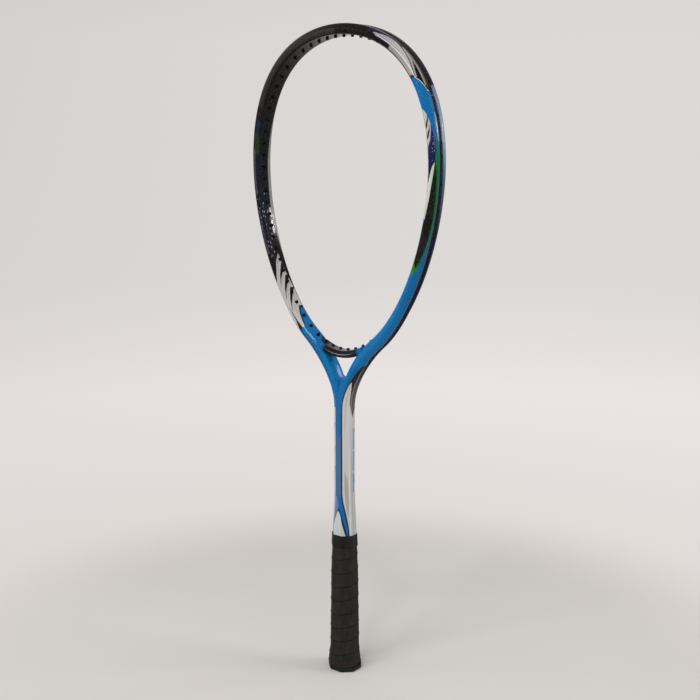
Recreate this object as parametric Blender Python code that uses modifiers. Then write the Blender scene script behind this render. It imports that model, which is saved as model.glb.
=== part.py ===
"""Soft tennis racket with one shaft, unstrung, standing on its butt.

Units are metres, +Z runs from the butt to the tip, X across the head and Y through it.
The origin is the centre of the butt's flat face.
"""
from math import cos, pi, radians, sin, tan

import bmesh
import bpy
import numpy as np
from mathutils import Matrix, Vector

# Head and its tube
OVERALL_LENGTH = 0.690
HEAD_LENGTH = 0.343
HEAD_WIDTH = 0.2423
HEAD_LIFT = 0.032              # widest point above the middle of the head
TUBE_AT_TIP = 0.0108
TUBE_AT_THROAT = 0.0099
BEAM_AT_TIP = 0.0272
BEAM_AT_THROAT = 0.0197
TUBE_WALL = 0.0015
OUTER_CHAMFER = 0.0046
INNER_CHAMFER = 0.0025
GROOVE_WIDTH = 0.0062
GROOVE_DEPTH = 0.0016
GROOVE_DRAFT = 0.0004
HOOP_STEP = 0.0130
CURVE_SAMPLES = 600

# Arms, throat and bridge
ARMS_LEAVE_HOOP = radians(157.5)   # angle from the tip
THROAT_LENGTH = 0.052              # from the head's lower end to where the arms are one shaft
ARM_UPPER_REACH = 0.023
ARM_LOWER_REACH = 0.031
ARM_STEPS = 10
ARM_SWELL = 0.0025                 # extra thickness outside the arms
SWELL_RISE = 0.062
SWELL_FULL = 0.003
SWELL_FALL = 0.052
GROOVE_FADE = 0.8                  # share of the arm over which the groove runs out
SADDLE_RADIUS = 0.0065
SADDLE_DEPTH = 0.0055              # solid web under the saddle
BRIDGE_THICKNESS = 0.0076
BRIDGE_BEAM = 0.0172
BRIDGE_HALF_LENGTH = 0.031
BRIDGE_STEPS = 12
BRIDGE_CHAMFER = 0.0018
BRIDGE_GROOVE_DEPTH = 0.0012

# Shaft
SHAFT_WIDTH = 0.0214
SHAFT_DEPTH = 0.0210
SHAFT_CHAMFER = 0.0062
TAPER_LENGTH = 0.064               # painted taper above the grip
TAPER_SHARES = (0.3, 0.6, 0.85, 1.0)
SHAFT_STEPS = 3
SHOULDER_HEIGHT = 0.1475
SPIGOT_WIDTH = 0.0186
TUBE_END_HEIGHT = 0.0105

# String holes and grommets
TIP_PITCH = 0.0109                 # mains at the tip, across the head from one on the axis
TIP_MAINS_PER_SIDE = 7
LOW_PITCH = 0.0103                 # mains at the throat, either side of the axis
LOW_MAINS_PER_SIDE = 7
BRIDGE_MAINS_PER_SIDE = 2
CROSS_PITCH = 0.0130
HOLE_RADIUS = 0.0019
BORE_RADIUS = 0.0009
HOLE_SIDES = 6
BARREL_PROTRUSION = 0.0022
STRIP_THICKNESS = 0.0009
STRIP_GAP = 0.0016                 # between the ends of two strips
HEAD_STRIP_CROSSES = 3
STRIP_MARGIN = 0.0060              # strip beyond its last barrel
BRIDGE_STRIP_MARGIN = 0.0026

# Handle
HANDLE_WIDE = 1.035                # width over mean width of the octagon
HANDLE_DEEP = 0.965
FOAM_TOP_WIDTH = 0.0219
FOAM_HIGH_KNEE_WIDTH = 0.0235      # the foam fills out quickly below the collar
FOAM_HIGH_KNEE_DROP = 0.0115       # how far that is below the shoulder
FOAM_LOW_KNEE_WIDTH = 0.0250
FOAM_LOW_KNEE_DROP = 0.0315
FOAM_BASE_WIDTH = 0.0275
FOAM_END_HEIGHT = 0.0064
FOAM_TENON_WIDTH = 0.0246
CAP_HEIGHT = 0.0255
CAP_RIM_WIDTH = 0.0344             # rim below the tape, as proud as the tape
CAP_RIM_HEIGHT = 0.0052
CAP_FLARE_WIDTH = 0.0314
CAP_WAIST_WIDTH = 0.0297
CAP_WAIST_HEIGHT = 0.0165
CAP_FOOT_WIDTH = 0.0308
CAP_FOOT_ROUND = 0.0024
CAP_FLOOR = 0.0042
DOOR_WIDTH = 0.0176
DOOR_RECESS = 0.0005
DOOR_FLANGE = 0.0016
DOOR_FLANGE_THICKNESS = 0.0012
PLUG_LENGTH = 0.0130
STAPLE_HEIGHT = 0.0205
STAPLE_WIDTH = 0.0090
STAPLE_WIRE = 0.0007
STAPLE_LEG = 0.0027
STAPLE_POCKET = 0.0011

# Grip tape and collar
TAPE_THICKNESS = 0.0012
TAPE_RIDGE = 0.0006
TAPE_PITCH = 0.0155
TAPE_TURN_GAP = 0.0005
TAPE_RIDGE_WIDTH = 0.0032
TAPE_RIDGE_EDGE = 0.6              # the ridge's height at its lower edge and its far end, as shares
TAPE_RIDGE_END = 0.25
TAPE_RIDGE_PEAK = 0.4              # where it is highest, as a share of its width
TAPE_TIP_WIDTH = 0.0020
STEPS_PER_TURN = 24
COLLAR_OVER_TAPE = 0.0060          # how far the collar reaches below and above the shoulder
COLLAR_OVER_PAINT = 0.0075
COLLAR_WALL = 0.0006
COLLAR_ROUND = 0.0004

SEAT = 0.0003                      # gap kept between pieces that touch
TAPE_BOTTOM = CAP_RIM_HEIGHT + SEAT
COLLAR_BOTTOM = SHOULDER_HEIGHT - COLLAR_OVER_TAPE
COLLAR_TOP = SHOULDER_HEIGHT + COLLAR_OVER_PAINT
OCTAGON = 8
HALF_STEP = pi / OCTAGON
MERGE = 0.00001
REACH = 0.0030                     # how far a cutter runs past what it cuts
SHARP_EDGE = radians(35)


def clear_scene():
    for obj in list(bpy.data.objects):
        bpy.data.objects.remove(obj)


def new_collection(name):
    collection = bpy.data.collections.new(name)
    bpy.context.scene.collection.children.link(collection)
    return collection


def material(name, colour, roughness, metallic=0.0):
    made = bpy.data.materials.new(name)
    made.use_nodes = True
    shader = made.node_tree.nodes["Principled BSDF"]
    shader.inputs["Base Color"].default_value = (*colour, 1.0)
    shader.inputs["Roughness"].default_value = roughness
    shader.inputs["Metallic"].default_value = metallic
    return made


def add_object(name, mesh, collection, finish=None):
    obj = bpy.data.objects.new(name, mesh)
    collection.objects.link(obj)
    if finish:
        mesh.materials.append(finish)
    return obj


def mesh_from(name, points, faces):
    mesh = bpy.data.meshes.new(name)
    mesh.from_pydata([tuple(p) for p in points], [], faces)
    mesh.update()
    return mesh


def face_outwards(mesh):
    edit = bmesh.new()
    edit.from_mesh(mesh)
    bmesh.ops.remove_doubles(edit, verts=edit.verts, dist=MERGE)
    bmesh.ops.recalc_face_normals(edit, faces=edit.faces)
    edit.to_mesh(mesh)
    edit.free()
    return mesh


def blend(low, high, share):
    return low + (high - low) * share


def ease(share):
    return share * share * (3 - 2 * share)


# The head's outline: an egg, by its angle from the tip

def tube_at(angle):
    return blend(TUBE_AT_THROAT, TUBE_AT_TIP, (1 + cos(angle)) / 2)


def beam_at(angle):
    return blend(BEAM_AT_THROAT, BEAM_AT_TIP, (1 + cos(angle)) / 2)


def egg(angle):
    """Centre of the head's tube, as (x, z)."""
    top = OVERALL_LENGTH - TUBE_AT_TIP / 2
    bottom = OVERALL_LENGTH - HEAD_LENGTH + TUBE_AT_THROAT / 2
    half_width = (HEAD_WIDTH - tube_at(pi / 2)) / 2
    x = half_width * sin(angle)
    z = (top + bottom) / 2 + (top - bottom) / 2 * cos(angle) + HEAD_LIFT * sin(angle) ** 2
    return Vector((x, z))


def egg_normal(angle):
    small = 0.0005
    along = egg(angle + small) - egg(angle - small)
    return Vector((-along.y, along.x)).normalized()


def egg_arc(start, end):
    """Angles and distances along the egg, for even spacing."""
    angles = [blend(start, end, i / CURVE_SAMPLES) for i in range(CURVE_SAMPLES + 1)]
    distances = [0.0]
    for a, b in zip(angles, angles[1:]):
        distances.append(distances[-1] + (egg(b) - egg(a)).length)
    return angles, distances


def angle_at(distance, arc):
    angles, distances = arc
    return float(np.interp(distance, distances, angles))


# Stations along the right half of the frame, from the tip to the tube's end

class Station:
    """One cross-section: where it is and how the tube is shaped there."""

    def __init__(self, centre, normal, outer, inner, beam, chamfer, groove):
        self.centre = centre
        self.normal = normal
        self.outer = outer
        self.inner = inner
        self.half_beam = beam / 2
        self.chamfer = chamfer
        self.chamfer_beam = chamfer
        self.groove = groove
        self.wall = TUBE_WALL
        self.joined = False
        self.cavity_joined = False

    def point(self, across, through):
        at = self.centre + self.normal * across
        return Vector((at.x, through, at.y))

    def across_at_axis(self):
        """Distance along the normal at which x is nought."""
        return -self.centre.x / self.normal.x

    def skin(self):
        lip = GROOVE_WIDTH / 2
        floor = lip - GROOVE_DRAFT
        half = [
            (self.outer - self.groove, floor),
            (self.outer, lip),
            (self.outer, self.half_beam - self.chamfer_beam),
            (self.outer - self.chamfer, self.half_beam),
            (self.inner + INNER_CHAMFER, self.half_beam),
            (self.inner, self.half_beam - INNER_CHAMFER),
        ]
        if self.joined:
            half[-1] = (self.across_at_axis(), self.half_beam)
        return self.both_sides(half)

    def cavity(self):
        wall = self.wall
        corner = wall * tan(HALF_STEP)
        half = [
            (self.outer - self.groove - wall,
             self.half_beam - self.chamfer_beam + self.groove - corner),
            (self.outer - self.chamfer - corner, self.half_beam - wall),
            (self.inner + INNER_CHAMFER + corner, self.half_beam - wall),
            (self.inner + wall, self.half_beam - INNER_CHAMFER - corner),
        ]
        if self.cavity_joined:
            half[-1] = (self.across_at_axis(), self.half_beam - wall)
        return self.both_sides(half)

    def strip(self):
        low = self.outer - self.groove + SEAT
        high = low + STRIP_THICKNESS
        side = GROOVE_WIDTH / 2 - GROOVE_DRAFT - SEAT
        return self.both_sides([(high, side), (low, side)])

    def both_sides(self, half):
        front = [self.point(across, -through) for across, through in half]
        back = [self.point(across, through) for across, through in reversed(half)]
        return front + back


def arms_end():
    """Height at which the two arms have become the shaft."""
    return OVERALL_LENGTH - HEAD_LENGTH - THROAT_LENGTH


def swell_at(height):
    """Extra thickness on the outside of the arms, fading into hoop and shaft."""
    rise = (height - arms_end()) / SWELL_RISE
    fall = (height - arms_end() - SWELL_RISE - SWELL_FULL) / SWELL_FALL
    return ARM_SWELL * ease(min(max(rise, 0.0), 1.0)) * (1 - ease(min(max(fall, 0.0), 1.0)))


def hoop_stations():
    arc = egg_arc(0.0, ARMS_LEAVE_HOOP)
    length = arc[1][-1]
    count = round(length / HOOP_STEP)
    stations = []
    for i in range(count + 1):
        angle = angle_at(length * i / count, arc)
        centre = egg(angle)
        half = tube_at(angle) / 2
        station = Station(centre, egg_normal(angle), half + swell_at(centre.y), -half,
                          beam_at(angle), OUTER_CHAMFER, GROOVE_DEPTH)
        stations.append(station)
    return stations


def arm_curve(share):
    """Centre of the arm from the hoop down to the shaft, as a Bezier curve."""
    start = egg(ARMS_LEAVE_HOOP)
    normal = egg_normal(ARMS_LEAVE_HOOP)
    heading = Vector((normal.y, -normal.x))
    end = Vector((SHAFT_WIDTH / 4, arms_end()))
    upper = start + heading * ARM_UPPER_REACH
    lower = end + Vector((0.0, ARM_LOWER_REACH))
    rest = 1 - share
    return (start * rest ** 3 + upper * 3 * rest ** 2 * share
            + lower * 3 * rest * share ** 2 + end * share ** 3)


def arm_normal(share):
    small = 0.001
    along = arm_curve(min(share + small, 1.0)) - arm_curve(max(share - small, 0.0))
    return Vector((-along.y, along.x)).normalized()


def arm_stations():
    stations = []
    saddle = None
    for i in range(1, ARM_STEPS + 1):
        share = i / ARM_STEPS
        change = ease(share)
        half = blend(tube_at(ARMS_LEAVE_HOOP) / 2, SHAFT_WIDTH / 4, change)
        beam = blend(beam_at(ARMS_LEAVE_HOOP), SHAFT_DEPTH, change)
        chamfer = blend(OUTER_CHAMFER, SHAFT_CHAMFER, change)
        groove = GROOVE_DEPTH * (1 - ease(min(1.0, share / GROOVE_FADE)))
        centre = arm_curve(share)
        station = Station(centre, arm_normal(share), half + swell_at(centre.y), -half,
                          beam, chamfer, groove)
        station.joined = station.point(station.inner, 0).x < SADDLE_RADIUS
        if station.joined and saddle is None:
            saddle = station.centre.y
        if saddle is not None:
            station.cavity_joined = station.centre.y < saddle - SADDLE_DEPTH
        stations.append(station)
    return stations


def octagon_chamfer(half):
    """Cut-off of a regular octagon's corner along a side of this half width."""
    return half * (1 - tan(HALF_STEP))


def shoulder_halves():
    """Half width and half depth that bring the paint level with the tape below it."""
    cover = SEAT + TAPE_THICKNESS
    return FOAM_TOP_WIDTH * HANDLE_WIDE / 2 + cover, FOAM_TOP_WIDTH * HANDLE_DEEP / 2 + cover


def shaft_station(height, half_width, half_depth, chamfer, chamfer_beam):
    station = Station(Vector((0.0, height)), Vector((1.0, 0.0)), half_width, 0.0, half_depth * 2,
                      chamfer, 0.0)
    station.chamfer_beam = chamfer_beam
    station.joined = True
    station.cavity_joined = True
    return station


def spigot_station(height):
    share = SPIGOT_WIDTH / SHAFT_WIDTH
    chamfer = SHAFT_CHAMFER * share
    return shaft_station(height, SPIGOT_WIDTH / 2, SHAFT_DEPTH / 2 * share, chamfer, chamfer)


def shaft_stations():
    """Straight shaft, painted taper and shoulder, then the spigot inside the handle."""
    taper_top = SHOULDER_HEIGHT + TAPER_LENGTH
    shaft = (SHAFT_WIDTH / 2, SHAFT_DEPTH / 2, SHAFT_CHAMFER, SHAFT_CHAMFER)
    wide, deep = shoulder_halves()
    shoulder = (wide, deep, octagon_chamfer(wide), octagon_chamfer(deep))
    stations = [shaft_station(blend(arms_end(), taper_top, (i + 1) / SHAFT_STEPS), *shaft)
                for i in range(SHAFT_STEPS)]
    for share in TAPER_SHARES:
        sizes = [blend(a, b, ease(share)) for a, b in zip(shaft, shoulder)]
        stations.append(shaft_station(blend(taper_top, SHOULDER_HEIGHT, share), *sizes))
    return stations + [spigot_station(SHOULDER_HEIGHT), spigot_station(TUBE_END_HEIGHT)]


def cavity_stations(stations):
    """The cavity narrows to the spigot's before the shoulder's step, which would break its wall."""
    above_step = [s for s in stations if s.centre.y > SHOULDER_HEIGHT + MERGE]
    narrow = [spigot_station(SHOULDER_HEIGHT + TUBE_WALL), spigot_station(TUBE_END_HEIGHT)]
    return above_step + narrow


def tube_faces(rings, open_from, inside_out=False):
    """Faces between rings of point numbers. A ring marked open leaves out one side."""
    faces = []
    for (ring, is_open), (following, next_open) in zip(rings, rings[1:]):
        count = len(ring)
        for j in range(count):
            k = (j + 1) % count
            if j == open_from and is_open and next_open:
                continue
            face = [ring[j], ring[k], following[k], following[j]]
            faces.append(face[::-1] if inside_out else face)
    return faces


def build_frame(stations, collection, finish):
    points = []

    def add_ring(ring):
        numbers = list(range(len(points), len(points) + len(ring)))
        points.extend(ring)
        return numbers

    skin = [(add_ring(s.skin()), s.joined) for s in stations]
    cavity = [(add_ring(s.cavity()), s.cavity_joined) for s in cavity_stations(stations)]
    skin_side = len(skin[0][0]) // 2 - 1
    cavity_side = len(cavity[0][0]) // 2 - 1
    faces = tube_faces(skin, skin_side) + tube_faces(cavity, cavity_side, inside_out=True)
    outer = skin[-1][0]
    inner = cavity[-1][0]
    outer_open = outer[skin_side + 1:] + outer[:skin_side + 1]
    inner_open = inner[cavity_side + 1:] + inner[:cavity_side + 1]
    faces.append(outer_open + inner_open[::-1])
    mesh = mesh_from("frame_tube", points, faces)
    edit = bmesh.new()
    edit.from_mesh(mesh)
    bmesh.ops.delete(edit, geom=[v for v in edit.verts if not v.link_faces], context="VERTS")
    bmesh.ops.remove_doubles(edit, verts=edit.verts, dist=MERGE)
    edit.to_mesh(mesh)
    edit.free()
    frame = add_object("frame_tube", mesh, collection, finish)
    mirror = frame.modifiers.new("other_half", "MIRROR")
    mirror.merge_threshold = MERGE
    return frame


# String holes

class Hole:
    """Axis of one string hole: a centre in the tube and the outward way.

    Depth runs back to the head's opening, floor runs out to the groove's floor.
    """

    def __init__(self, centre, normal, depth, distance, floor=0.0):
        self.centre = centre
        self.normal = normal
        self.depth = depth
        self.distance = distance
        self.floor = floor

    def mirrored(self):
        return Hole(Vector((-self.centre.x, self.centre.y)), Vector((-self.normal.x, self.normal.y)),
                    self.depth, self.distance, self.floor)


def set_floors(holes, stations):
    """Find the groove's floor at each hole from the stations along the tube."""
    distances = [0.0]
    for a, b in zip(stations, stations[1:]):
        distances.append(distances[-1] + (b.centre - a.centre).length)
    floors = [s.outer - s.groove for s in stations]
    for hole in holes:
        hole.floor = float(np.interp(hole.distance, distances, floors))


def path_points():
    """Fine points down the middle of the right half of hoop and arm, with their distance from the tip."""
    angles = egg_arc(0.0, ARMS_LEAVE_HOOP)[0]
    points = [egg(a) for a in angles]
    points += [arm_curve((i + 1) / CURVE_SAMPLES) for i in range(CURVE_SAMPLES)]
    distances = [0.0]
    for a, b in zip(points, points[1:]):
        distances.append(distances[-1] + (b - a).length)
    return points, distances


def hole_through_tube(angle, path):
    """A hole that opens on the head's inner line at this angle and runs square through the tube."""
    points, distances = path
    mouth = egg(angle) - egg_normal(angle) * tube_at(angle) / 2
    nearest = min(range(len(points)), key=lambda i: (points[i] - mouth).length)
    centre = points[nearest]
    along = centre - mouth
    return Hole(centre, along.normalized(), along.length, distances[nearest])


def angles_of_mains(places, start, end):
    """Angles between start and end at which the head's inner line is this far from the axis."""
    angles = [blend(start, end, i / CURVE_SAMPLES) for i in range(CURVE_SAMPLES + 1)]
    mouths = [(egg(a) - egg_normal(a) * tube_at(a) / 2).x for a in angles]
    return [float(np.interp(x, mouths, angles)) for x in places]


def string_holes(path):
    """Holes of the right half: mains at the tip, crosses, mains at the shoulder, mains in the bridge."""
    widest = pi / 2
    tip_angles = angles_of_mains([TIP_PITCH * i for i in range(TIP_MAINS_PER_SIDE + 1)], 0.0, widest)
    low_angles = angles_of_mains([LOW_PITCH * (i + 0.5) for i in range(LOW_MAINS_PER_SIDE)], pi, widest)
    side = egg_arc(tip_angles[-1], low_angles[-1])
    side_length = side[1][-1]
    crosses = round(side_length / CROSS_PITCH) - 1
    cross_places = [side_length * (i + 1) / (crosses + 1) for i in range(crosses)]
    tip = [hole_through_tube(angle, path) for angle in tip_angles]
    sides = [hole_through_tube(angle_at(s, side), path) for s in cross_places]
    shoulder = [hole_through_tube(angle, path)
                for angle in reversed(low_angles[BRIDGE_MAINS_PER_SIDE:])]
    bridge = []
    for angle in low_angles[:BRIDGE_MAINS_PER_SIDE]:
        half = tube_at(angle) / 2
        floor = BRIDGE_THICKNESS - half - BRIDGE_GROOVE_DEPTH
        bridge.append(Hole(egg(angle), egg_normal(angle), half, egg_arc(angle, pi)[1][-1], floor))
    return tip, sides, shoulder, bridge


def both_sides_of(holes):
    """These holes and the mirrored ones, a hole on the axis once."""
    return holes + [h.mirrored() for h in holes if h.centre.x > HOLE_RADIUS]


def prism(edit, hole, radius, low, high):
    """A six-sided bar along a hole's axis, from low to high along its outward normal."""
    way = Vector((hole.normal.x, 0.0, hole.normal.y))
    middle = Vector((hole.centre.x, 0.0, hole.centre.y)) + way * (low + high) / 2
    turn = Vector((0.0, 0.0, 1.0)).rotation_difference(way).to_matrix().to_4x4()
    across_corners = radius / cos(pi / HOLE_SIDES)
    bmesh.ops.create_cone(edit, cap_ends=True, segments=HOLE_SIDES, radius1=across_corners,
                          radius2=across_corners, depth=high - low, matrix=Matrix.Translation(middle) @ turn)


def bars(name, holes, radius, low, high, collection):
    """Bars on all these holes as one object. low and high take a hole and give a distance."""
    edit = bmesh.new()
    for hole in holes:
        prism(edit, hole, radius, low(hole), high(hole))
    mesh = bpy.data.meshes.new(name)
    edit.to_mesh(mesh)
    edit.free()
    made = add_object(name, mesh, collection)
    made.hide_render = True
    made.display_type = "WIRE"
    return made


def boolean(obj, other, operation):
    modifier = obj.modifiers.new(other.name, "BOOLEAN")
    modifier.operation = operation
    modifier.object = other
    modifier.solver = "EXACT"
    return modifier


# Grommet strips

def strip_rails(stations, start=None, end=None):
    """Strip sections between two distances, cut on the straight runs between stations."""
    rings = [s.strip() for s in stations]
    middles = [s.centre for s in stations]
    distances = [0.0]
    for a, b in zip(middles, middles[1:]):
        distances.append(distances[-1] + (b - a).length)
    start = distances[0] if start is None else start
    end = distances[-1] if end is None else end

    def ring_at(distance):
        i = int(np.searchsorted(distances, distance)) - 1
        i = max(0, min(i, len(rings) - 2))
        share = (distance - distances[i]) / (distances[i + 1] - distances[i])
        return [p.lerp(q, share) for p, q in zip(rings[i], rings[i + 1])]

    inside = [ring for ring, d in zip(rings, distances) if start + MERGE < d < end - MERGE]
    return [ring_at(start)] + inside + [ring_at(end)]


def loft(name, rings, close_start=True, close_end=True):
    """A skin over rings of points, with flat ends where asked."""
    count = len(rings[0])
    points = [p for ring in rings for p in ring]
    numbers = [list(range(i * count, (i + 1) * count)) for i in range(len(rings))]
    faces = tube_faces([(ring, False) for ring in numbers], None)
    if close_start:
        faces.append(numbers[0][::-1])
    if close_end:
        faces.append(numbers[-1])
    return mesh_from(name, points, faces)


def grommet_strip(name, rails, holes, cutters, collection, finish, halves=False):
    """A strip with a bored barrel on each hole. A strip of halves is mirrored at x = 0."""
    mesh = loft(name, rails, close_start=not halves)
    strip = add_object(name, mesh, collection, finish)
    if halves:
        mirror = strip.modifiers.new("other_half", "MIRROR")
        mirror.merge_threshold = MERGE
        holes = both_sides_of(holes)
    root = bars(name + "_barrels", holes, HOLE_RADIUS - SEAT, lambda h: -h.depth - BARREL_PROTRUSION,
                lambda h: h.floor + SEAT + STRIP_THICKNESS / 2, cutters)
    bore = bars(name + "_bores", holes, BORE_RADIUS, lambda h: -h.depth - REACH,
                lambda h: h.floor + REACH, cutters)
    boolean(strip, root, "UNION")
    boolean(strip, bore, "DIFFERENCE")
    return strip


def baked_mesh(obj):
    """The evaluated mesh of an object, modifiers included."""
    graph = bpy.context.evaluated_depsgraph_get()
    return bpy.data.meshes.new_from_object(obj.evaluated_get(graph))


def mirrored_copy(obj, name, collection):
    mesh = baked_mesh(obj)
    mesh.name = name
    edit = bmesh.new()
    edit.from_mesh(mesh)
    bmesh.ops.scale(edit, vec=(-1.0, 1.0, 1.0), verts=edit.verts)
    bmesh.ops.reverse_faces(edit, faces=edit.faces)
    edit.to_mesh(mesh)
    edit.free()
    return add_object(name, mesh, collection)


# Bridge

def bridge_stations():
    """Sections of the bridge along the egg's lower end, inner face in line with the head's."""
    arc = egg_arc(0.0, pi)
    length = arc[1][-1]
    stations = []
    for i in range(BRIDGE_STEPS + 1):
        offset = BRIDGE_HALF_LENGTH * (2 * i / BRIDGE_STEPS - 1)
        angle = angle_at(length - abs(offset), arc)
        centre = egg(angle)
        normal = egg_normal(angle)
        if offset > 0:
            centre.x = -centre.x
            normal.x = -normal.x
        half = tube_at(angle) / 2
        station = Station(centre, normal, BRIDGE_THICKNESS - half, -half, BRIDGE_BEAM,
                          BRIDGE_CHAMFER, BRIDGE_GROOVE_DEPTH)
        stations.append(station)
    return stations


def swollen_tube(stations, name, collection):
    """The hoop and arm with the seat gap added all round, as a cutter for the bridge."""
    rings = []
    for s in stations:
        grown = Station(s.centre, s.normal, s.outer + SEAT, s.inner - SEAT,
                        (s.half_beam + SEAT) * 2, s.chamfer, 0.0)
        rings.append(grown.skin())
    made = add_object(name, face_outwards(loft(name, rings)), collection)
    made.hide_render = True
    made.display_type = "WIRE"
    return made


# Handle pieces: rings of a wide octagon

def octagon_ring(width, height, extra=0.0):
    ring = []
    for i in range(OCTAGON):
        turn = HALF_STEP + i * 2 * HALF_STEP
        corner = 1 / cos(HALF_STEP)
        x = (width * HANDLE_WIDE / 2 + extra) * corner * cos(turn)
        y = (width * HANDLE_DEEP / 2 + extra) * corner * sin(turn)
        ring.append(Vector((x, y, height)))
    return ring


def spigot_ring(height, extra):
    """The eight corners of the frame's spigot, grown by extra."""
    half_width = SPIGOT_WIDTH / 2
    half_depth = half_width * SHAFT_DEPTH / SHAFT_WIDTH
    cut = SPIGOT_WIDTH * SHAFT_CHAMFER / SHAFT_WIDTH
    near = extra * tan(HALF_STEP)
    corners = [(half_width + extra, half_depth - cut + near), (half_width - cut + near, half_depth + extra)]
    quarter = corners + [(-x, y) for x, y in reversed(corners)]
    return [Vector((x, y, height)) for x, y in quarter + [(-x, -y) for x, y in quarter]]


def sleeve(name, rings, collection, finish):
    """A closed ring of material: outer rings upwards, then inner rings downwards."""
    count = len(rings[0])
    points = [p for ring in rings for p in ring]
    numbers = [list(range(i * count, (i + 1) * count)) for i in range(len(rings))]
    faces = tube_faces([(ring, False) for ring in numbers + numbers[:1]], None)
    return add_object(name, face_outwards(mesh_from(name, points, faces)), collection, finish)


def build_foam(collection, finish):
    top = SHOULDER_HEIGHT - SEAT
    shelf = CAP_HEIGHT + SEAT
    rings = [
        octagon_ring(FOAM_TENON_WIDTH, FOAM_END_HEIGHT),
        octagon_ring(FOAM_TENON_WIDTH, shelf),
        octagon_ring(FOAM_BASE_WIDTH, shelf),
        octagon_ring(FOAM_LOW_KNEE_WIDTH, SHOULDER_HEIGHT - FOAM_LOW_KNEE_DROP),
        octagon_ring(FOAM_HIGH_KNEE_WIDTH, SHOULDER_HEIGHT - FOAM_HIGH_KNEE_DROP),
        octagon_ring(FOAM_TOP_WIDTH, top),
        spigot_ring(top, SEAT),
        spigot_ring(FOAM_END_HEIGHT, SEAT),
    ]
    return sleeve("handle_foam", rings, collection, finish)


def build_cap(collection, finish):
    mortise = FOAM_TENON_WIDTH + 2 * SEAT
    opening = DOOR_WIDTH + 2 * SEAT
    rings = [
        octagon_ring(CAP_FOOT_WIDTH, 0.0),
        octagon_ring(CAP_RIM_WIDTH, CAP_FOOT_ROUND),
        octagon_ring(CAP_RIM_WIDTH, CAP_RIM_HEIGHT),
        octagon_ring(CAP_FLARE_WIDTH, CAP_RIM_HEIGHT),
        octagon_ring(CAP_WAIST_WIDTH, CAP_WAIST_HEIGHT),
        octagon_ring(FOAM_BASE_WIDTH, CAP_HEIGHT),
        octagon_ring(mortise, CAP_HEIGHT),
        octagon_ring(mortise, CAP_FLOOR),
        octagon_ring(opening, CAP_FLOOR),
        octagon_ring(opening, 0.0),
    ]
    return sleeve("butt_cap", rings, collection, finish)


def build_door(collection, finish):
    """Blank cover of the butt's opening, its flange resting on the cap's floor."""
    shelf = CAP_FLOOR + SEAT
    flange = DOOR_WIDTH + 2 * SEAT + 2 * DOOR_FLANGE
    rings = [
        octagon_ring(DOOR_WIDTH, DOOR_RECESS),
        octagon_ring(DOOR_WIDTH, shelf),
        octagon_ring(flange, shelf),
        octagon_ring(flange, shelf + DOOR_FLANGE_THICKNESS),
    ]
    return add_object("butt_door", face_outwards(loft("butt_door", rings)), collection, finish)


def build_plug(collection, finish):
    """Foam stopper in the open end of the tube."""
    inset = -(TUBE_WALL + SEAT)
    rings = [spigot_ring(TUBE_END_HEIGHT, inset), spigot_ring(TUBE_END_HEIGHT + PLUG_LENGTH, inset)]
    return add_object("shaft_end_plug", face_outwards(loft("shaft_end_plug", rings)), collection, finish)


def cap_half_depth(height):
    """Half the depth of the cap's skirt between waist and top."""
    share = (height - CAP_WAIST_HEIGHT) / (CAP_HEIGHT - CAP_WAIST_HEIGHT)
    return blend(CAP_WAIST_WIDTH, FOAM_BASE_WIDTH, share) * HANDLE_DEEP / 2


def staple_boxes(extra, pocket):
    """Crown and two legs of the front staple, grown by extra, as corner pairs."""
    face = cap_half_depth(STAPLE_HEIGHT)
    half = STAPLE_WIRE / 2 + extra
    crown_out = face + REACH if pocket else face - STAPLE_POCKET + SEAT + STAPLE_WIRE
    crown_in = face - STAPLE_POCKET if pocket else face - STAPLE_POCKET + SEAT
    leg_end = crown_in - STAPLE_LEG - (SEAT if pocket else 0.0)
    edge = STAPLE_WIDTH / 2
    boxes = [((-edge - extra, -crown_out), (edge + extra, -crown_in))]
    for side in (-1, 1):
        outer = side * (edge + extra)
        inner = side * (edge - STAPLE_WIRE - extra)
        near = min(outer, inner)
        far = max(outer, inner)
        boxes.append(((near, -crown_in - STAPLE_WIRE / 2), (far, -leg_end)))
    return [(low[0], high[0], low[1], high[1], half) for low, high in boxes]


def box(edit, low_x, high_x, low_y, high_y, half_z, height):
    middle = Vector(((low_x + high_x) / 2, (low_y + high_y) / 2, height))
    size = Matrix.Diagonal((high_x - low_x, high_y - low_y, 2 * half_z, 1.0))
    bmesh.ops.create_cube(edit, size=1.0, matrix=Matrix.Translation(middle) @ size)


def staple_object(name, extra, pocket, part, sides, collection, finish=None):
    """The chosen boxes of a staple, at the front (-1), at the back (1) or at both."""
    edit = bmesh.new()
    for side in sides:
        for low_x, high_x, low_y, high_y, half in staple_boxes(extra, pocket)[part]:
            near, far = sorted((-side * low_y, -side * high_y))
            box(edit, low_x, high_x, near, far, half, STAPLE_HEIGHT)
    mesh = bpy.data.meshes.new(name)
    edit.to_mesh(mesh)
    edit.free()
    made = add_object(name, mesh, collection, finish)
    if finish is None:
        made.hide_render = True
        made.display_type = "WIRE"
    return made


def build_staples(collection, cutters, finish, cap, foam):
    """Two staples pin the cap to the foam. Their pockets are cut from both."""
    crown = slice(0, 1)
    legs = slice(1, 3)
    for place, side in (("front", -1), ("back", 1)):
        staple = staple_object("butt_cap_staple_" + place, 0.0, False, crown, (side,), collection,
                               finish)
        pair = staple_object("staple_legs_" + place, 0.0, False, legs, (side,), cutters)
        boolean(staple, pair, "UNION")
    crowns = staple_object("staple_crown_pockets", SEAT, True, crown, (-1, 1), cutters)
    slots = staple_object("staple_leg_slots", SEAT, True, legs, (-1, 1), cutters)
    boolean(cap, crowns, "DIFFERENCE")
    boolean(cap, slots, "DIFFERENCE")
    boolean(foam, slots, "DIFFERENCE")


# Grip tape: one strip wound up the handle

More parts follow.
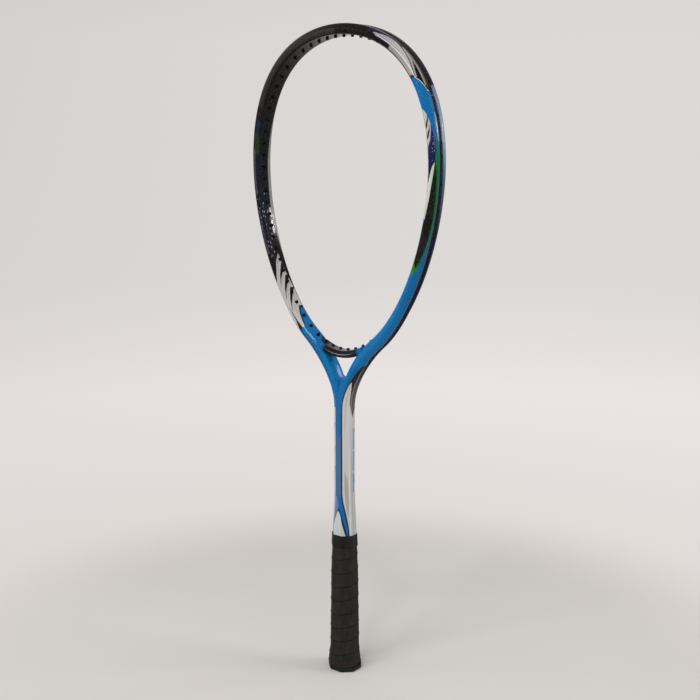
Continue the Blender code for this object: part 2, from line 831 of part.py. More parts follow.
def core_width(height):
    """Mean width of cap and foam under the tape."""
    heights = [CAP_RIM_HEIGHT, CAP_WAIST_HEIGHT, CAP_HEIGHT, SHOULDER_HEIGHT - FOAM_LOW_KNEE_DROP,
               SHOULDER_HEIGHT - FOAM_HIGH_KNEE_DROP, SHOULDER_HEIGHT]
    widths = [CAP_FLARE_WIDTH, CAP_WAIST_WIDTH, FOAM_BASE_WIDTH, FOAM_LOW_KNEE_WIDTH,
              FOAM_HIGH_KNEE_WIDTH, FOAM_TOP_WIDTH]
    return float(np.interp(height, heights, widths))


def octagon_point(turn, width, extra, height):
    """Point of a wide octagon, at an even turn of its regular parent."""
    side = round(turn / (2 * HALF_STEP))
    reach = 1 / cos(turn - side * 2 * HALF_STEP)
    x = (width * HANDLE_WIDE / 2 + extra) * reach * cos(turn)
    y = (width * HANDLE_DEEP / 2 + extra) * reach * sin(turn)
    return Vector((x, y, height))


def tape_section(turn, low, high):
    """Section of the tape from its lower to its upper edge at one turn angle."""
    top = SEAT + TAPE_THICKNESS
    ridge_end = min(low + TAPE_RIDGE_WIDTH, (low + high) / 2)
    clear_of_collar = (COLLAR_BOTTOM - ridge_end) / TAPE_RIDGE_WIDTH
    ridge = TAPE_RIDGE * min(1.0, max(0.0, clear_of_collar))
    shape = [
        (low, SEAT),
        (low, top + ridge * TAPE_RIDGE_EDGE),
        (blend(low, ridge_end, TAPE_RIDGE_PEAK), top + ridge),
        (ridge_end, top + ridge * TAPE_RIDGE_END),
        (high, top),
        (high, SEAT),
    ]
    return [octagon_point(turn, core_width(h), extra, h) for h, extra in shape]


def build_tape(collection, finish):
    """The tape's first and last turns are cut slanting, so that both ends of the grip are square."""
    top = SHOULDER_HEIGHT - SEAT
    width = TAPE_PITCH - TAPE_TURN_GAP
    rings = []
    step = 0
    while True:
        turn = HALF_STEP + step * 2 * pi / STEPS_PER_TURN
        middle = TAPE_BOTTOM - width / 2 + TAPE_TIP_WIDTH + TAPE_PITCH * step / STEPS_PER_TURN
        low = max(middle - width / 2, TAPE_BOTTOM)
        high = min(middle + width / 2, top)
        if high - low < TAPE_TIP_WIDTH - MERGE:
            break
        rings.append(tape_section(turn, low, high))
        step += 1
    least = min((a - b).length
                for ring, above in zip(rings, rings[STEPS_PER_TURN:])
                for a in ring for b in above)
    turns = (len(rings) - 1) / STEPS_PER_TURN
    print("grip_tape:", round(turns, 2), "turns,", round(least * 1000, 2), "mm from itself at least")
    return add_object("grip_tape", face_outwards(loft("grip_tape", rings)), collection, finish)


def build_collar(collection, finish):
    """Rubber band over the tape's upper end and the painted shoulder."""
    inside = SEAT + TAPE_THICKNESS + SEAT
    outside = inside + COLLAR_WALL
    below = core_width(COLLAR_BOTTOM)
    rings = [
        octagon_ring(below, COLLAR_BOTTOM, outside),
        octagon_ring(FOAM_TOP_WIDTH, COLLAR_TOP - COLLAR_ROUND, outside),
        octagon_ring(FOAM_TOP_WIDTH, COLLAR_TOP, outside - COLLAR_ROUND),
        octagon_ring(FOAM_TOP_WIDTH, COLLAR_TOP, inside),
        octagon_ring(FOAM_TOP_WIDTH, SHOULDER_HEIGHT, inside),
        octagon_ring(below, COLLAR_BOTTOM, inside),
    ]
    return sleeve("grip_collar", rings, collection, finish)


def main():
    clear_scene()
    racket = new_collection("soft_tennis_racket")
    cutters = new_collection("cutters")

    blue = material("frame_paint", (0.018, 0.16, 0.40), 0.22)
    dark = material("bridge_paint", (0.02, 0.021, 0.024), 0.3)
    nylon = material("grommet_nylon", (0.012, 0.012, 0.013), 0.45)
    foam_grey = material("handle_foam", (0.30, 0.29, 0.26), 0.9)
    cap_plastic = material("cap_plastic", (0.012, 0.02, 0.02), 0.4)
    steel = material("staple_steel", (0.55, 0.55, 0.53), 0.3, 1.0)
    tape_black = material("tape_black", (0.016, 0.014, 0.013), 0.75)
    rubber = material("collar_rubber", (0.014, 0.013, 0.013), 0.55)

    path = path_points()
    tip, sides, shoulder, bridge_holes = string_holes(path)
    upper = hoop_stations() + arm_stations()
    right = tip + sides + shoulder
    set_floors(right, upper)
    both = both_sides_of(right)
    stations = upper + shaft_stations()
    frame = build_frame(stations, racket, blue)
    frame_holes = bars("frame_string_holes", both, HOLE_RADIUS, lambda h: -h.depth - REACH,
                       lambda h: h.floor + GROOVE_DEPTH + REACH, cutters)
    boolean(frame, frame_holes, "DIFFERENCE")

    spans = bridge_stations()
    bridge = add_object("yoke_bridge", face_outwards(loft("yoke_bridge", [s.skin() for s in spans])),
                        racket, dark)
    right_tube = swollen_tube(upper, "right_tube_grown", cutters)
    left_tube = mirrored_copy(right_tube, "left_tube_grown", cutters)
    left_tube.hide_render = True
    left_tube.display_type = "WIRE"
    low_holes = shoulder + bridge_holes
    bridge_cut = bars("bridge_string_holes", both_sides_of(low_holes),
                      HOLE_RADIUS, lambda h: -h.depth - REACH,
                      lambda h: BRIDGE_THICKNESS, cutters)
    boolean(bridge, right_tube, "DIFFERENCE")
    boolean(bridge, left_tube, "DIFFERENCE")
    boolean(bridge, bridge_cut, "DIFFERENCE")

    crosses_at_tip = sides[:HEAD_STRIP_CROSSES]
    head_end = (sides[HEAD_STRIP_CROSSES - 1].distance + sides[HEAD_STRIP_CROSSES].distance) / 2
    side_end = (sides[-1].distance + shoulder[0].distance) / 2
    shoulder_end = shoulder[-1].distance + STRIP_MARGIN
    half_gap = STRIP_GAP / 2
    grommet_strip("head_grommet_strip", strip_rails(upper, 0.0, head_end - half_gap),
                  tip + crosses_at_tip, cutters, racket, nylon, halves=True)
    right_side = grommet_strip("right_side_grommet_strip",
                               strip_rails(upper, head_end + half_gap, side_end - half_gap),
                               sides[HEAD_STRIP_CROSSES:], cutters, racket, nylon)
    right_shoulder = grommet_strip("right_shoulder_grommet_strip",
                                   strip_rails(upper, side_end + half_gap, shoulder_end),
                                   shoulder, cutters, racket, nylon)
    mirrored_copy(right_side, "left_side_grommet_strip", racket)
    mirrored_copy(right_shoulder, "left_shoulder_grommet_strip", racket)
    bridge_both = both_sides_of(bridge_holes)
    reach = bridge_holes[-1].distance + BRIDGE_STRIP_MARGIN
    grommet_strip("yoke_grommet_strip",
                  strip_rails(spans, BRIDGE_HALF_LENGTH - reach, BRIDGE_HALF_LENGTH + reach),
                  bridge_both, cutters, racket, nylon)

    foam = build_foam(racket, foam_grey)
    cap = build_cap(racket, cap_plastic)
    build_door(racket, cap_plastic)
    build_plug(racket, foam_grey)
    build_staples(racket, cutters, steel, cap, foam)
    build_tape(racket, tape_black)
    build_collar(racket, rubber)

    for obj in racket.objects:
        obj.data.shade_smooth()
        obj.data.set_sharp_from_angle(angle=SHARP_EDGE)


main()
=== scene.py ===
from math import cos, pi, radians, sin, sqrt, tan

import bmesh
import bpy
import numpy as np
from mathutils import Matrix, Vector


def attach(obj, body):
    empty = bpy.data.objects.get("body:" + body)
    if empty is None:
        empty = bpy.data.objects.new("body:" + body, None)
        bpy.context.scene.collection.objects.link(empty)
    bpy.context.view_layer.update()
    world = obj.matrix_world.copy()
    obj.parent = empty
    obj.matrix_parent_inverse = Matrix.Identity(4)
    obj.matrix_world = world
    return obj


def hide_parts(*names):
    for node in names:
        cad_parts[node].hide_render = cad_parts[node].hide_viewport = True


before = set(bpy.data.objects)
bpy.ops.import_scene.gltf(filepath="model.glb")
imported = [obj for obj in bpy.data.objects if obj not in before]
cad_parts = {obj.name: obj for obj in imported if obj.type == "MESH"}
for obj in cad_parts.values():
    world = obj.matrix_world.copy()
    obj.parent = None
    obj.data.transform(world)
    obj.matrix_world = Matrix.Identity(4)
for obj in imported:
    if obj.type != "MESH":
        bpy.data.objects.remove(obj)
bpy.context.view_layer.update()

mergeDistance = 0.00001
tiny = 1e-9
sharpAngle = radians(38)
print("frame loaded,", len(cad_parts), "nodes")


# small helpers

def mix(low, high, share):
    return low + (high - low) * share


def clamp(value):
    return min(max(value, 0.0), 1.0)


def ease(share):
    share = clamp(share)
    return share * share * (3 - 2 * share)


def runOf(points):
    # distance along a line of points, at each of them
    distances = [0.0]
    for a, b in zip(points, points[1:]):
        distances.append(distances[-1] + (b - a).length)
    return distances


def upright(flat, through=0.0):
    # a place or direction in the racket's own plane, as one in space
    return Vector((flat.x, through, flat.y))


def colour(code):
    # a screen colour such as 1f6fae as the linear colour that a shader wants
    parts = [int(code[i:i + 2], 16) / 255 for i in (0, 2, 4)]
    return [p / 12.92 if p <= 0.04045 else ((p + 0.055) / 1.055) ** 2.4 for p in parts] + [1.0]


def meshObject(name, edit, finish=None):
    mesh = bpy.data.meshes.new(name)
    edit.to_mesh(mesh)
    edit.free()
    made = bpy.data.objects.new(name, mesh)
    bpy.context.scene.collection.objects.link(made)
    if finish:
        mesh.materials.append(finish)
    return made


def cutter(name, edit):
    made = meshObject(name, edit)
    made.hide_render = True
    return made


def booleanWith(made, other, operation):
    # cuts or joins at once, and takes the other object away
    modifier = made.modifiers.new(operation, "BOOLEAN")
    modifier.operation = operation
    modifier.solver = "EXACT"
    modifier.object = other
    graph = bpy.context.evaluated_depsgraph_get()
    result = bpy.data.meshes.new_from_object(made.evaluated_get(graph))
    made.modifiers.clear()
    made.data = result
    bpy.data.objects.remove(other)


def finishPiece(made, nodes, angle=sharpAngle):
    made.data.shade_smooth()
    made.data.set_sharp_from_angle(angle=angle)
    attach(made, "root")
    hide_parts(*nodes)
    print("made", made.name, len(made.data.polygons), "faces")
    return made


def loft(edit, rings, closed=True, capStart=False, capEnd=False):
    # the first ring is drawn, and each further one is extruded from it and laid in place
    verts = [edit.verts.new(p) for p in rings[0]]
    pairs = list(zip(verts, verts[1:]))
    if closed:
        pairs.append((verts[-1], verts[0]))
    edges = [edit.edges.new(pair) for pair in pairs]
    rows = [verts]
    firstEdges = edges
    for ring in rings[1:]:
        made = bmesh.ops.extrude_edge_only(edit, edges=edges)["geom"]
        fresh = [g for g in made if isinstance(g, bmesh.types.BMVert)]
        edges = [g for g in made if isinstance(g, bmesh.types.BMEdge)]
        known = set(rows[-1])
        follows = {}
        for vert in fresh:
            old = next(e.other_vert(vert) for e in vert.link_edges if e.other_vert(vert) in known)
            follows[old] = vert
        verts = [follows[v] for v in rows[-1]]
        edges = [edit.edges.get((a, b)) for a, b in zip(verts, verts[1:])]
        if closed:
            edges.append(edit.edges.get((verts[-1], verts[0])))
        for vert, place in zip(verts, ring):
            vert.co = place
        rows.append(verts)
    if capStart:
        bmesh.ops.contextual_create(edit, geom=firstEdges)
    if capEnd:
        bmesh.ops.contextual_create(edit, geom=edges)
    return rows


def mirrorMesh(edit, axis):
    bmesh.ops.mirror(edit, geom=edit.verts[:] + edit.edges[:] + edit.faces[:], axis=axis,
                     merge_dist=mergeDistance)


def setMap(edit, name, marks):
    # a UV map from each vertex's own place in it
    layer = edit.loops.layers.uv.new(name)
    for face in edit.faces:
        for loop in face.loops:
            loop[layer].uv = marks[loop.vert]


def tidyMesh(edit):
    bmesh.ops.remove_doubles(edit, verts=edit.verts, dist=mergeDistance)
    bmesh.ops.dissolve_degenerate(edit, edges=edit.edges, dist=mergeDistance / 2)
    bmesh.ops.recalc_face_normals(edit, faces=edit.faces)


# shader tools

class Value:
    # one output socket, so that shader maths reads as sums
    def __init__(self, sheet, socket):
        self.sheet = sheet
        self.socket = socket

    def sum(self, operation, *others):
        numbers = {i + 1: other for i, other in enumerate(others)}
        numbers[0] = self
        return self.sheet.node("ShaderNodeMath", {"operation": operation}, numbers)

    def __add__(self, other):
        return self.sum("ADD", other)

    __radd__ = __add__

    def __sub__(self, other):
        return self.sum("SUBTRACT", other)

    def __rsub__(self, other):
        return self.sheet.node("ShaderNodeMath", {"operation": "SUBTRACT"}, {0: other, 1: self})

    def __mul__(self, other):
        return self.sum("MULTIPLY", other)

    __rmul__ = __mul__

    def __truediv__(self, other):
        return self.sum("DIVIDE", other)

    def __pow__(self, other):
        return self.sum("POWER", other)

    def __gt__(self, other):
        return self.sum("GREATER_THAN", other)

    def __lt__(self, other):
        return self.sum("LESS_THAN", other)


class Sheet:
    # the nodes of a material or of a group
    def __init__(self, tree):
        self.tree = tree

    def node(self, kind, settings=None, sockets=None, output=0):
        made = self.tree.nodes.new(kind)
        for name, value in (settings or {}).items():
            if name == "stops":
                ramp = made.color_ramp
                for place, shade in value[1:-1]:
                    ramp.elements.new(place).color = shade
                ramp.elements[0].position, ramp.elements[0].color = value[0]
                ramp.elements[-1].position, ramp.elements[-1].color = value[-1]
            elif name == "points":
                curve = made.mapping.curves[0]
                for place in value[1:-1]:
                    curve.points.new(*place)
                curve.points[0].location = value[0]
                curve.points[-1].location = value[-1]
                for point in curve.points:
                    point.handle_type = "VECTOR"
                made.mapping.update()
            else:
                setattr(made, name, value)
        for name, value in (sockets or {}).items():
            self.put(made.inputs[name], value)
        return Value(self, made.outputs[output])

    def put(self, socket, value):
        if isinstance(value, Value):
            self.tree.links.new(value.socket, socket)
        else:
            socket.default_value = value

    def objectPlace(self):
        return self.node("ShaderNodeTexCoord", None, None, 3)

    def parts(self, vector):
        return [self.node("ShaderNodeSeparateXYZ", None, {0: vector}, i) for i in range(3)]

    def scaled(self, vector, by):
        return self.node("ShaderNodeMapping", None, {"Vector": vector, "Scale": by})

    def noise(self, vector, scale, detail=2.0):
        return self.node("ShaderNodeTexNoise", None, {"Vector": vector, "Scale": scale, "Detail": detail})

    def cells(self, vector, scale, feature="F1", output=0):
        # output 0 is the distance to the nearest cell's middle, and 1 that cell's own colour
        return self.node("ShaderNodeTexVoronoi", {"feature": feature}, {"Vector": vector, "Scale": scale},
                         output)

    def redOf(self, shade):
        return self.node("ShaderNodeSeparateColor", None, {0: shade})

    def ramped(self, value, low, high, outLow=0.0, outHigh=1.0):
        return self.node("ShaderNodeMapRange", {"interpolation_type": "SMOOTHSTEP", "clamp": False},
                         {"Value": value, "From Min": low, "From Max": high,
                          "To Min": outLow, "To Max": outHigh})

    def over(self, base, top, mask):
        return self.node("ShaderNodeMix", {"data_type": "RGBA"}, {0: mask, 6: base, 7: top}, 2)

    def bump(self, height, strength, distance):
        return self.node("ShaderNodeBump", None,
                         {"Height": height, "Strength": strength, "Distance": distance})


class Finish(Sheet):
    # one material
    def __init__(self, name):
        self.material = bpy.data.materials.new(name)
        self.material.use_nodes = True
        super().__init__(self.material.node_tree)
        self.shader = self.tree.nodes["Principled BSDF"]
        self.output = self.tree.nodes["Material Output"]

    def set(self, **sockets):
        # baseColor means the socket Base Color, and specularIORLevel the socket Specular IOR Level
        inputs = {socket.name.replace(" ", "").lower(): socket for socket in self.shader.inputs}
        for name, value in sockets.items():
            self.put(inputs[name.lower()], value)


# the racket's outline, as the CAD has it, in metres

racket = {
    "length": 0.690,
    "headLength": 0.343,
    "headWidth": 0.2423,
    "headLift": 0.032,
    "tubeAtTip": 0.0108,
    "tubeAtThroat": 0.0099,
    "beamAtTip": 0.0272,
    "beamAtThroat": 0.0197,
    "outerChamfer": 0.0046,
    "innerChamfer": 0.0025,
    "armsLeaveHoop": radians(157.5),
    "throatLength": 0.052,
    "armUpperReach": 0.023,
    "armLowerReach": 0.031,
    "armSwell": 0.0025,
    "swellRise": 0.062,
    "swellFull": 0.003,
    "swellFall": 0.052,
    "shaftWidth": 0.0214,
    "shaftDepth": 0.0210,
    "shaftChamfer": 0.0062,
    "taperLength": 0.064,
    "shoulderHeight": 0.1475,
    "tubeEnd": 0.0105,
    "spigotWidth": 0.0186,
}

groove = {"width": 0.0062, "depth": 0.0016, "draft": 0.0004, "fade": 0.8, "lipRound": 0.0003}
armsEnd = racket["length"] - racket["headLength"] - racket["throatLength"]
samples = 600
mapLength = 1000    # the paint counts millimetres along the tube
mapFlats = 10       # the tube's map holds a flat's number as this part of it
angleNudge = 0.0005
shareNudge = 0.001


def tubeAt(angle):
    return mix(racket["tubeAtThroat"], racket["tubeAtTip"], (1 + cos(angle)) / 2)


def beamAt(angle):
    return mix(racket["beamAtThroat"], racket["beamAtTip"], (1 + cos(angle)) / 2)


def egg(angle):
    # middle of the head's tube, x and z
    top = racket["length"] - racket["tubeAtTip"] / 2
    bottom = racket["length"] - racket["headLength"] + racket["tubeAtThroat"] / 2
    halfWidth = (racket["headWidth"] - tubeAt(pi / 2)) / 2
    lift = racket["headLift"] * sin(angle) ** 2
    return Vector((halfWidth * sin(angle), (top + bottom) / 2 + (top - bottom) / 2 * cos(angle) + lift))


def eggNormal(angle):
    along = egg(angle + angleNudge) - egg(angle - angleNudge)
    return Vector((-along.y, along.x)).normalized()


def eggArc(start, end):
    angles = [mix(start, end, i / samples) for i in range(samples + 1)]
    return angles, runOf([egg(a) for a in angles])


def angleAt(distance, arc):
    return float(np.interp(distance, arc[1], arc[0]))


def armCurve(share):
    start = egg(racket["armsLeaveHoop"])
    normal = eggNormal(racket["armsLeaveHoop"])
    upper = start + Vector((normal.y, -normal.x)) * racket["armUpperReach"]
    end = Vector((racket["shaftWidth"] / 4, armsEnd))
    lower = end + Vector((0.0, racket["armLowerReach"]))
    rest = 1 - share
    return (start * rest ** 3 + upper * 3 * rest ** 2 * share
            + lower * 3 * rest * share ** 2 + end * share ** 3)


def armNormal(share):
    along = armCurve(min(share + shareNudge, 1.0)) - armCurve(max(share - shareNudge, 0.0))
    return Vector((-along.y, along.x)).normalized()


def swellAt(height):
    rise = ease((height - armsEnd) / racket["swellRise"])
    fall = ease((height - armsEnd - racket["swellRise"] - racket["swellFull"]) / racket["swellFall"])
    return racket["armSwell"] * rise * (1 - fall)


class Station:
    # one cross-section of the tube, and how far it is from the tip
    def __init__(self, along, centre, normal, outer, inner, beam, chamfer, grooveDepth):
        self.along = along
        self.centre = centre
        self.normal = normal
        self.outer = outer
        self.inner = inner
        self.halfBeam = beam / 2
        self.chamfer = chamfer
        self.chamferBeam = chamfer
        self.innerChamfer = racket["innerChamfer"]
        self.groove = grooveDepth

    def place(self, across, through):
        return upright(self.centre + self.normal * across, through)

    def acrossAtAxis(self):
        return -self.centre.x / self.normal.x


shape = {
    "hoopStep": 0.0024,
    "armStep": 0.0012,
    "shaftStep": 0.0085,
    "taperStep": 0.0040,
    "spigotStep": 0.001,        # along the map, from the shoulder to the spigot
    "roundOuter": 0.0014,       # softness of each edge along the tube
    "roundFront": 0.0012,
    "roundInner": 0.0011,
    "edgeSteps": 3,
    "edgeRoom": 0.45,           # most of a flat that a softened edge may take
    "saddleHeight": 0.3288,     # where the arms' inner sides start to close
    "saddleRound": 0.0042,
    "valleyStart": 0.6,
    "valleyRun": 0.016,         # the dip below the saddle runs out over this length
}


def hoopStations():
    arc = eggArc(0.0, racket["armsLeaveHoop"])
    length = arc[1][-1]
    count = round(length / shape["hoopStep"])
    made = []
    for i in range(count + 1):
        angle = angleAt(length * i / count, arc)
        half = tubeAt(angle) / 2
        centre = egg(angle)
        made.append(Station(length * i / count, centre, eggNormal(angle), half + swellAt(centre.y), -half,
                            beamAt(angle), racket["outerChamfer"], groove["depth"]))
    return made


def armStations(start):
    leave = racket["armsLeaveHoop"]
    fine = [armCurve(i / samples) for i in range(samples + 1)]
    distances = runOf(fine)
    count = round(distances[-1] / shape["armStep"])
    made = []
    for i in range(1, count + 1):
        distance = distances[-1] * i / count
        share = float(np.interp(distance, distances, [j / samples for j in range(samples + 1)]))
        change = ease(share)
        half = mix(tubeAt(leave) / 2, racket["shaftWidth"] / 4, change)
        centre = armCurve(share)
        station = Station(start + distance, centre, armNormal(share), half + swellAt(centre.y), -half,
                          mix(beamAt(leave), racket["shaftDepth"], change),
                          mix(racket["outerChamfer"], racket["shaftChamfer"], change),
                          groove["depth"] * (1 - ease(share / groove["fade"])))
        closing = (shape["saddleHeight"] - station.place(station.inner, 0).z) / shape["saddleRound"]
        if closing > 0:
            reach = 1 - sqrt(1 - clamp(closing) ** 2)
            station.inner = mix(station.inner, station.acrossAtAxis(), reach)
            below = (closing - shape["valleyStart"]) * shape["saddleRound"]
            runOut = ease(below / shape["valleyRun"])
            station.innerChamfer = racket["innerChamfer"] * (1 - runOut)
        made.append(station)
    return made


def octagonChamfer(half):
    return half * (1 - tan(pi / 8))


def shaftStation(along, height, halfWidth, halfDepth, chamfer, chamferBeam):
    made = Station(along, Vector((0.0, height)), Vector((1.0, 0.0)), halfWidth, 0.0, halfDepth * 2,
                   chamfer, 0.0)
    made.chamferBeam = chamferBeam
    made.innerChamfer = 0.0
    return made


def shaftStations(start):
    top = armsEnd
    taperTop = racket["shoulderHeight"] + racket["taperLength"]
    shoulder = racket["shoulderHeight"]
    wide = grip["topWidth"] * grip["wide"] / 2 + grip["cover"]
    deep = grip["topWidth"] * grip["deep"] / 2 + grip["cover"]
    narrow = (racket["shaftWidth"] / 2, racket["shaftDepth"] / 2, racket["shaftChamfer"],
              racket["shaftChamfer"])
    full = (wide, deep, octagonChamfer(wide), octagonChamfer(deep))
    heights = []
    for high, low, step in ((top, taperTop, shape["shaftStep"]), (taperTop, shoulder, shape["taperStep"])):
        heights += list(np.linspace(high, low, round((high - low) / step) + 1))[1:]
    made = []
    for height in heights:
        share = ease((taperTop - height) / racket["taperLength"])
        sizes = [mix(a, b, share) for a, b in zip(narrow, full)]
        made.append(shaftStation(start + top - height, height, *sizes))
    scale = racket["spigotWidth"] / racket["shaftWidth"]
    spigot = [s * scale for s in narrow]
    for height in (shoulder, racket["tubeEnd"]):
        made.append(shaftStation(start + top - shoulder + shape["spigotStep"], height, *spigot))
    return made


def sectionHalf(station):
    # the front half of a section from the inner middle to the outer middle: across, through and
    # the number of the flat that it lies on, 0 to 1 inside, 2 to 3 in front, 4 to 5 outside
    inner, outer, beam = station.inner, station.outer, station.halfBeam
    innerCut, cut, cutBeam = station.innerChamfer, station.chamfer, station.chamferBeam
    lip = groove["width"] / 2
    floor = lip - groove["draft"]
    outerFlat = beam - cutBeam
    corners = [
        (inner, 0.0, 0.0, 0.0),
        (inner, beam - innerCut, 1.0, shape["roundInner"]),
        (inner + innerCut, beam, 2.0, shape["roundInner"]),
        (outer - cut, beam, 3.0, shape["roundFront"]),
        (outer, beam - cutBeam, 4.0, shape["roundOuter"]),
        (outer, lip, 5 - lip / outerFlat, groove["lipRound"]),
        (outer - station.groove, floor, 5 - floor / outerFlat, groove["lipRound"]),
        (outer - station.groove, 0.0, 5.0, 0.0),
    ]
    corners = [np.array(c) for c in corners]
    points = [corners[0][:3]]
    for before, here, after in zip(corners, corners[1:], corners[2:]):
        toBefore = before[:2] - here[:2]
        toAfter = after[:2] - here[:2]
        lengths = [np.hypot(*toBefore), np.hypot(*toAfter)]
        cutBack = min(here[3], shape["edgeRoom"] * min(lengths))
        start = here[:3] + (before[:3] - here[:3]) * cutBack / max(lengths[0], tiny)
        end = here[:3] + (after[:3] - here[:3]) * cutBack / max(lengths[1], tiny)
        for i in range(shape["edgeSteps"] + 1):
            t = i / shape["edgeSteps"]
            points.append(start * (1 - t) ** 2 + here[:3] * 2 * t * (1 - t) + end * t ** 2)
    points.append(corners[-1][:3])
    return points


def tubeQuarter(edit, stations):
    # front right quarter of a tube, with the distance from the tip and the flat's number as its UV
    sections = [sectionHalf(s) for s in stations]
    rings = [[s.place(p[0], -p[1]) for p in section] for s, section in zip(stations, sections)]
    rows = loft(edit, rings, closed=False)
    marks = {}
    for station, section, row in zip(stations, sections, rows):
        for point, vert in zip(section, row):
            marks[vert] = (station.along, point[2] / mapFlats)
    setMap(edit, "tube", marks)


def mirrorQuarter(edit):
    inside = [f for f in edit.faces if all(abs(v.co.x) < mergeDistance for v in f.verts)]
    bmesh.ops.delete(edit, geom=inside, context="FACES")
    for axis in ("Y", "X"):
        mirrorMesh(edit, axis)
    openEdges = [e for e in edit.edges if e.is_boundary]
    bmesh.ops.holes_fill(edit, edges=openEdges, sides=0)
    tidyMesh(edit)


# string holes and grommets

holes = {
    "tipPitch": 0.0109,         # mains at the tip, measured across the head from one on the axis
    "tipMainsPerSide": 7,
    "lowPitch": 0.0103,         # mains at the throat, either side of the axis
    "lowMainsPerSide": 7,
    "bridgeMainsPerSide": 2,
    "crossPitch": 0.013,
    "radius": 0.0019,
    "sides": 16,
    "past": 0.003,              # how far the cutters stand out on the inside and in the groove
    "pastGroove": 0.0028,
}

grommets = {
    "barrelRadius": 0.0016,
    "bore": 0.00095,
    "protrusion": 0.0022,
    "mouthRound": 0.0005,
    "thickness": 0.0009,
    "gap": 0.0016,
    "headCrosses": 3,
    "margin": 0.0060,
    "bridgeMargin": 0.0026,
    "seat": 0.0003,
    "waist": 0.0017,
    "atHole": 0.00235,
    "spread": 0.0032,
    "step": 0.0016,
    "edge": 0.0003,
    "crown": 0.00008,
    "boreEnd": 0.0006,          # below the strip's face
    "sinkStart": 0.0008,        # the bore opens out from here to past the face
    "sinkPast": 0.0003,
    "sinkRadius": 0.0016,
    "sides": 16,
}

grip = {
    "wide": 1.035,
    "deep": 0.965,
    "cover": 0.0015,            # the painted shoulder stands as far out as the tape
    "topWidth": 0.0219,
    "highKneeWidth": 0.0235,    # the core fills out quickly below the collar
    "highKneeDrop": 0.0115,
    "lowKneeWidth": 0.0250,
    "lowKneeDrop": 0.0315,
    "baseWidth": 0.0275,
}

bridge = {
    "thickness": 0.0076,
    "beam": 0.0172,
    "halfLength": 0.031,
    "chamfer": 0.0018,
    "grooveDepth": 0.0012,
    "step": 0.0016,
}


class Hole:
    # axis of a string hole: depth runs in to the head's opening, floor out to the groove
    def __init__(self, centre, normal, depth, along, floor):
        self.centre = centre
        self.normal = normal
        self.depth = depth
        self.along = along
        self.floor = floor

    def mirrored(self):
        return Hole(Vector((-self.centre.x, self.centre.y)), Vector((-self.normal.x, self.normal.y)),
                    self.depth, self.along, self.floor)


def holeThrough(angle, stations, fine):
    mouth = egg(angle) - eggNormal(angle) * tubeAt(angle) / 2
    points, distances = fine
    nearest = min(range(len(points)), key=lambda i: (points[i] - mouth).length)
    reach = points[nearest] - mouth
    along = distances[nearest]
    floor = float(np.interp(along, [s.along for s in stations], [s.outer - s.groove for s in stations]))
    return Hole(points[nearest], reach.normalized(), reach.length, along, floor)


def anglesOfMains(places, start, end):
    # angles at which the head's inner line is this far from the axis
    angles = [mix(start, end, i / samples) for i in range(samples + 1)]
    mouths = [(egg(a) - eggNormal(a) * tubeAt(a) / 2).x for a in angles]
    return [float(np.interp(x, mouths, angles)) for x in places]


def findHoles(stations):
    points = [egg(a) for a in eggArc(0.0, racket["armsLeaveHoop"])[0]]
    points += [armCurve((i + 1) / samples) for i in range(samples)]
    fine = (points, runOf(points))
    tipPlaces = [holes["tipPitch"] * i for i in range(holes["tipMainsPerSide"] + 1)]
    lowPlaces = [holes["lowPitch"] * (i + 0.5) for i in range(holes["lowMainsPerSide"])]
    tipAngles = anglesOfMains(tipPlaces, 0.0, pi / 2)
    lowAngles = anglesOfMains(lowPlaces, pi, pi / 2)
    side = eggArc(tipAngles[-1], lowAngles[-1])
    sideLength = side[1][-1]
    crosses = round(sideLength / holes["crossPitch"]) - 1
    crossPlaces = [sideLength * (i + 1) / (crosses + 1) for i in range(crosses)]
    tip = [holeThrough(a, stations, fine) for a in tipAngles]
    sides = [holeThrough(angleAt(s, side), stations, fine) for s in crossPlaces]
    shoulder = [holeThrough(a, stations, fine) for a in reversed(lowAngles[holes["bridgeMainsPerSide"]:])]
    inBridge = []
    for angle in lowAngles[:holes["bridgeMainsPerSide"]]:
        half = tubeAt(angle) / 2
        floor = bridge["thickness"] - half - bridge["grooveDepth"]
        inBridge.append(Hole(egg(angle), eggNormal(angle), half, eggArc(angle, pi)[1][-1], floor))
    return tip, sides, shoulder, inBridge


def bothSides(places):
    # these holes and the mirrored ones, a hole on the axis once
    return places + [h.mirrored() for h in places if h.centre.x > holes["radius"]]


def rod(edit, hole, radius, low, high, sides, endRadius=None):
    # a round bar on a hole's axis; the end radius is the one at high
    way = upright(hole.normal)
    middle = upright(hole.centre) + way * (low + high) / 2
    turn = Vector((0.0, 0.0, 1.0)).rotation_difference(way).to_matrix().to_4x4()
    return bmesh.ops.create_cone(edit, cap_ends=True, segments=sides, radius1=radius,
                                 radius2=radius if endRadius is None else endRadius, depth=high - low,
                                 matrix=Matrix.Translation(middle) @ turn)["verts"]


def bars(name, places, radius, low, high, sides):
    edit = bmesh.new()
    for hole in places:
        rod(edit, hole, radius, low(hole), high(hole), sides)
    return cutter(name, edit)


def stationAt(stations, along):
    # a section between two stations
    places = [s.along for s in stations]
    i = min(max(int(np.searchsorted(places, along)) - 1, 0), len(stations) - 2)
    a, b = stations[i], stations[i + 1]
    share = (along - a.along) / (b.along - a.along)
    return Station(along, a.centre.lerp(b.centre, share), a.normal.lerp(b.normal, share).normalized(),
                   mix(a.outer, b.outer, share), mix(a.inner, b.inner, share),
                   mix(a.halfBeam, b.halfBeam, share) * 2, mix(a.chamfer, b.chamfer, share),
                   mix(a.groove, b.groove, share))


